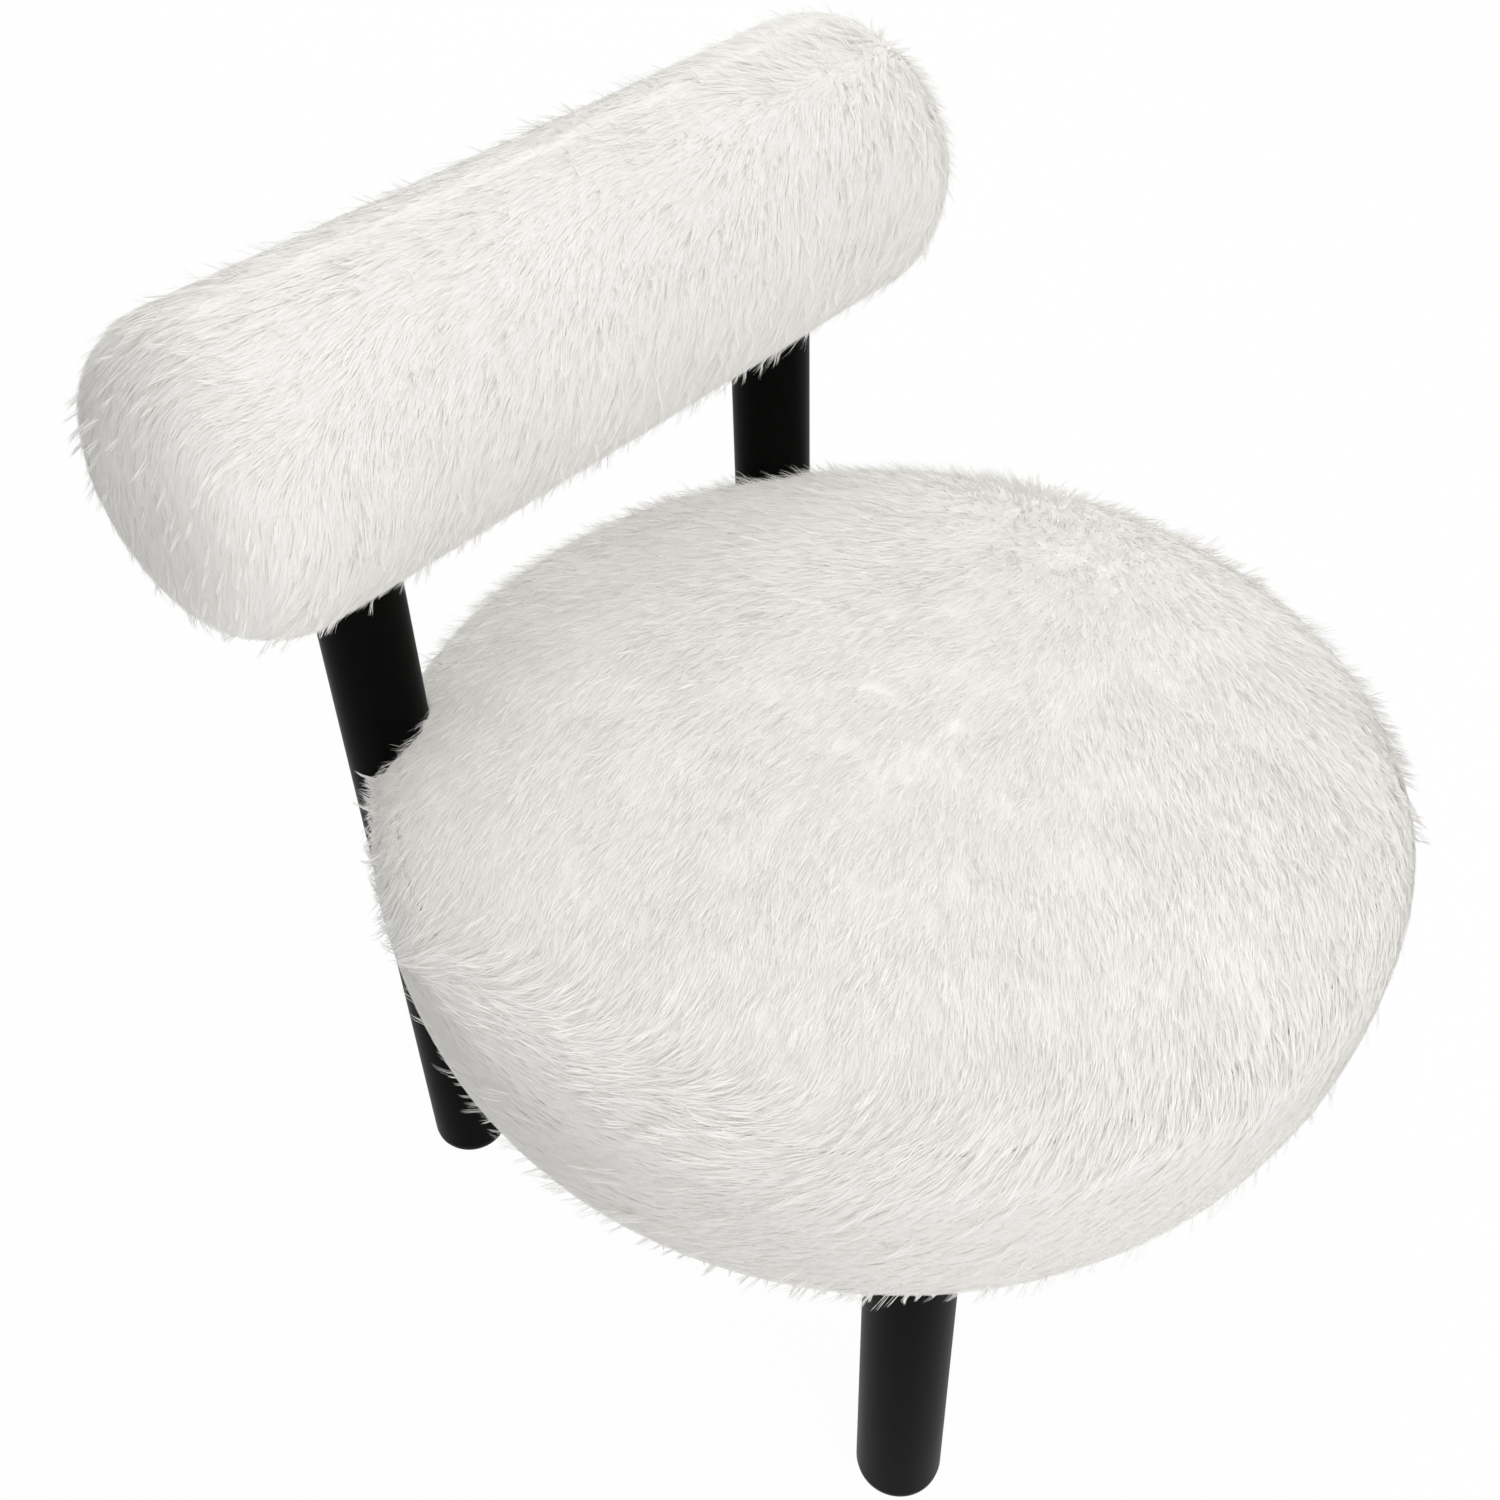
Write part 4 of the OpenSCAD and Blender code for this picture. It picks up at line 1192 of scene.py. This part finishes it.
@dataclass
class Underside:
    """The dust cover under the seat."""

    radius: float = DUST_R
    height: float = BOARD_LOW_Z - 0.0019
    sag: float = 0.0035
    staples: int = 24
    pucker: float = 0.0006
    ripple: float = 0.0007
    segments: int = 192
    rings: int = 28
    thickness: float = 0.0007
    leg_gap: float = 0.0008

    def build(self) -> None:
        """Makes the cloth: taut between its staples, a little slack in the middle."""
        turn = ring_turns(self.segments)
        way = np.stack([np.cos(turn), np.sin(turn)], axis=1)
        reach = np.full(self.segments, self.radius)
        for side in (-1, 1):
            middle = np.array([side * LEG_X, FRONT_Y - SEAT_Y])
            along = way @ middle
            apart = along ** 2 - middle @ middle + (LEG_R + self.leg_gap) ** 2
            near = along - np.sqrt(np.maximum(apart, 0))
            reach = np.where((apart > 0) & (along > 0), np.minimum(reach, near), reach)
        places = [[[0.0, SEAT_Y, self.height - self.sag]]]
        for ring in range(1, self.rings + 1):
            share = ring / self.rings
            pull = np.cos(self.staples * turn) * self.pucker * share ** 6
            drop = self.sag * (1 - share ** 2) + self.pucker * (1 - share ** 8) + pull * (share < 1)
            x, y = (way * (reach * share)[:, None]).T
            ripple = self.ripple * drift(np.stack([x, y, x * 0], 1), 0.05, 31) * (1 - share ** 4)
            places.append(np.stack([x, y + SEAT_Y, self.height - (drop + ripple)], 1))
        steps = [(i, (i + 1) % self.segments) for i in range(self.segments)]
        faces = [[0, 1 + i, 1 + after] for i, after in steps]
        for ring in range(self.rings - 1):
            one, two = 1 + ring * self.segments, 1 + (ring + 1) * self.segments
            faces += [[one + i, two + i, two + after, one + after] for i, after in steps]
        cloth = DustCloth("dust_cloth").material()
        piece = new_piece("dust_sheet", np.concatenate(places), faces, cloth)
        modifier = piece.modifiers.new("thickness", "SOLIDIFY")
        modifier.thickness, modifier.offset = self.thickness, 0.0
        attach(piece, BODY)
        side = 2 * self.radius
        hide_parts("dust_cover")
        report(piece)


class Frame:
    """The legs, timber and fasteners, which keep their solids."""

    def build(self) -> None:
        """Gives every kept solid its finish."""
        for finish, names in CAD_FINISHES.items():
            for name in names.split():
                node = bpy.data.objects[name]
                node.data.materials.clear()
                node.data.materials.append(finish.material())
                LOG.info("%s: %s", name, finish.name)


@dataclass
class Studio:
    """The pale floor, the soft lamps and the camera at the photograph's angle."""

    elevation: float = math.radians(42.44)
    roll: float = math.radians(-1.88)
    lens: float = 42.14
    distance: float = 1.1669
    target: Triple = (0.0, 0.0977, 0.3499)
    lit_at: Triple = (0.0, 0.0, 0.4)
    white: Colour = (1.0, 1.0, 1.0)
    floor_colour: Colour = (0.92, 0.92, 0.92)
    floor_lift: float = 0.965
    floor_half: float = 12.0
    world_level: float = 0.34

    def build(self) -> None:
        """Sets up the view, the world, the lamps, the floor and the camera."""
        bpy.context.scene.view_settings.view_transform = "Standard"
        self._world()
        self._floor()
        self._lamp("front", (-1.2, -4.4, 2.6), 3.6, 104.0)
        self._lamp("fill_front", (-1.2, -4.4, 2.6), 3.6, 50.0, False)
        self._lamp("above", (0.0, -0.9, 4.6), 3.0, 30.0)
        self._lamp("fill_above", (0.0, 0.2, 4.6), 3.6, 45.0, False)
        self._lamp("fill_rear", (2.9, 3.3, 3.6), 3.4, 104.0, False)
        self._camera()

    def _backdrop(self, recipe: Recipe, share: float, lit: Node,
                  shown: Node) -> None:
        """Ends a recipe with two looks.

        Args:
            recipe: what is ended.
            share: how much of the shown look replaces the lit one.
            lit: the look for light that bounces.
            shown: the look for rays that show the background: the camera's and those through gloss
                and glass.
        """
        path = recipe.node("ShaderNodeLightPath")
        camera, glossy, through = (
            recipe.value(path, f"Is {kind} Ray") for kind in ("Camera", "Glossy", "Transmission"))
        recipe.end(recipe.node("ShaderNodeMixShader", {
            0: (camera + glossy + through) * share, 1: lit.outputs[0], 2: shown.outputs[0]}))

    def _world(self) -> None:
        """A white background that lights less than it shows."""
        world = bpy.data.worlds.new("studio")
        bpy.context.scene.world = world
        recipe = Recipe(world, "ShaderNodeOutputWorld")
        dim, bright = (
            recipe.node("ShaderNodeBackground", {"Color": self.white, "Strength": level})
            for level in (self.world_level, 1.0))
        self._backdrop(recipe, 1.0, dim, bright)

    def _floor(self) -> None:
        """A wide pale floor that keeps the chair's shadow."""
        recipe = Recipe(bpy.data.materials.new("floor"))
        matt = recipe.node("ShaderNodeBsdfDiffuse", {"Color": self.floor_colour})
        glow = recipe.node("ShaderNodeEmission", {"Color": self.white, "Strength": 1.0})
        self._backdrop(recipe, self.floor_lift, matt, glow)
        corners = self.floor_half * np.array([[-1, -1, 0], [1, -1, 0], [1, 1, 0], [-1, 1, 0]])
        new_piece("floor", corners, [[0, 1, 2, 3]], recipe.owner)

    def _lamp(self, name: str, place: Triple, size: float, power: float, shadow: bool = True) -> None:
        """A square soft lamp that faces the chair; a fill throws no shadow."""
        lamp = bpy.data.lights.new(name, "AREA")
        lamp.shape, lamp.size, lamp.energy, lamp.use_shadow = "SQUARE", size, power, shadow
        holder = new_object(name, lamp)
        holder.location = place
        holder.rotation_mode = "QUATERNION"
        aim = Vector(self.lit_at) - Vector(place)
        holder.rotation_quaternion = aim.to_track_quat("-Z", "Y")

    def _camera(self) -> None:
        """The camera, where the photograph was taken from."""
        a, e, r = PHOTO_AZIMUTH, self.elevation, self.roll
        back = Vector((math.sin(a) * math.cos(e), -math.cos(a) * math.cos(e), math.sin(e)))
        right = Vector((math.cos(a), math.sin(a), 0.0))
        up = back.cross(right)
        across = math.cos(r) * right + math.sin(r) * up
        rise = math.cos(r) * up - math.sin(r) * right
        lens = bpy.data.cameras.new("camera")
        lens.lens, lens.sensor_width = self.lens, 36.0
        camera = new_object("camera", lens)
        axes = Matrix((across, rise, back)).transposed().to_4x4()
        camera.matrix_world = Matrix.Translation(Vector(self.target) + self.distance * back) @ axes
        bpy.context.scene.camera = camera


def main() -> None:
    """Builds the chair's dress and its studio."""
    logging.basicConfig(level=logging.INFO, format="%(message)s")
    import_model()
    Studio().build()
    Frame().build()
    Underside().build()
    Seat().build()
    Bolster().build()


if __name__ == "__main__":
    main()
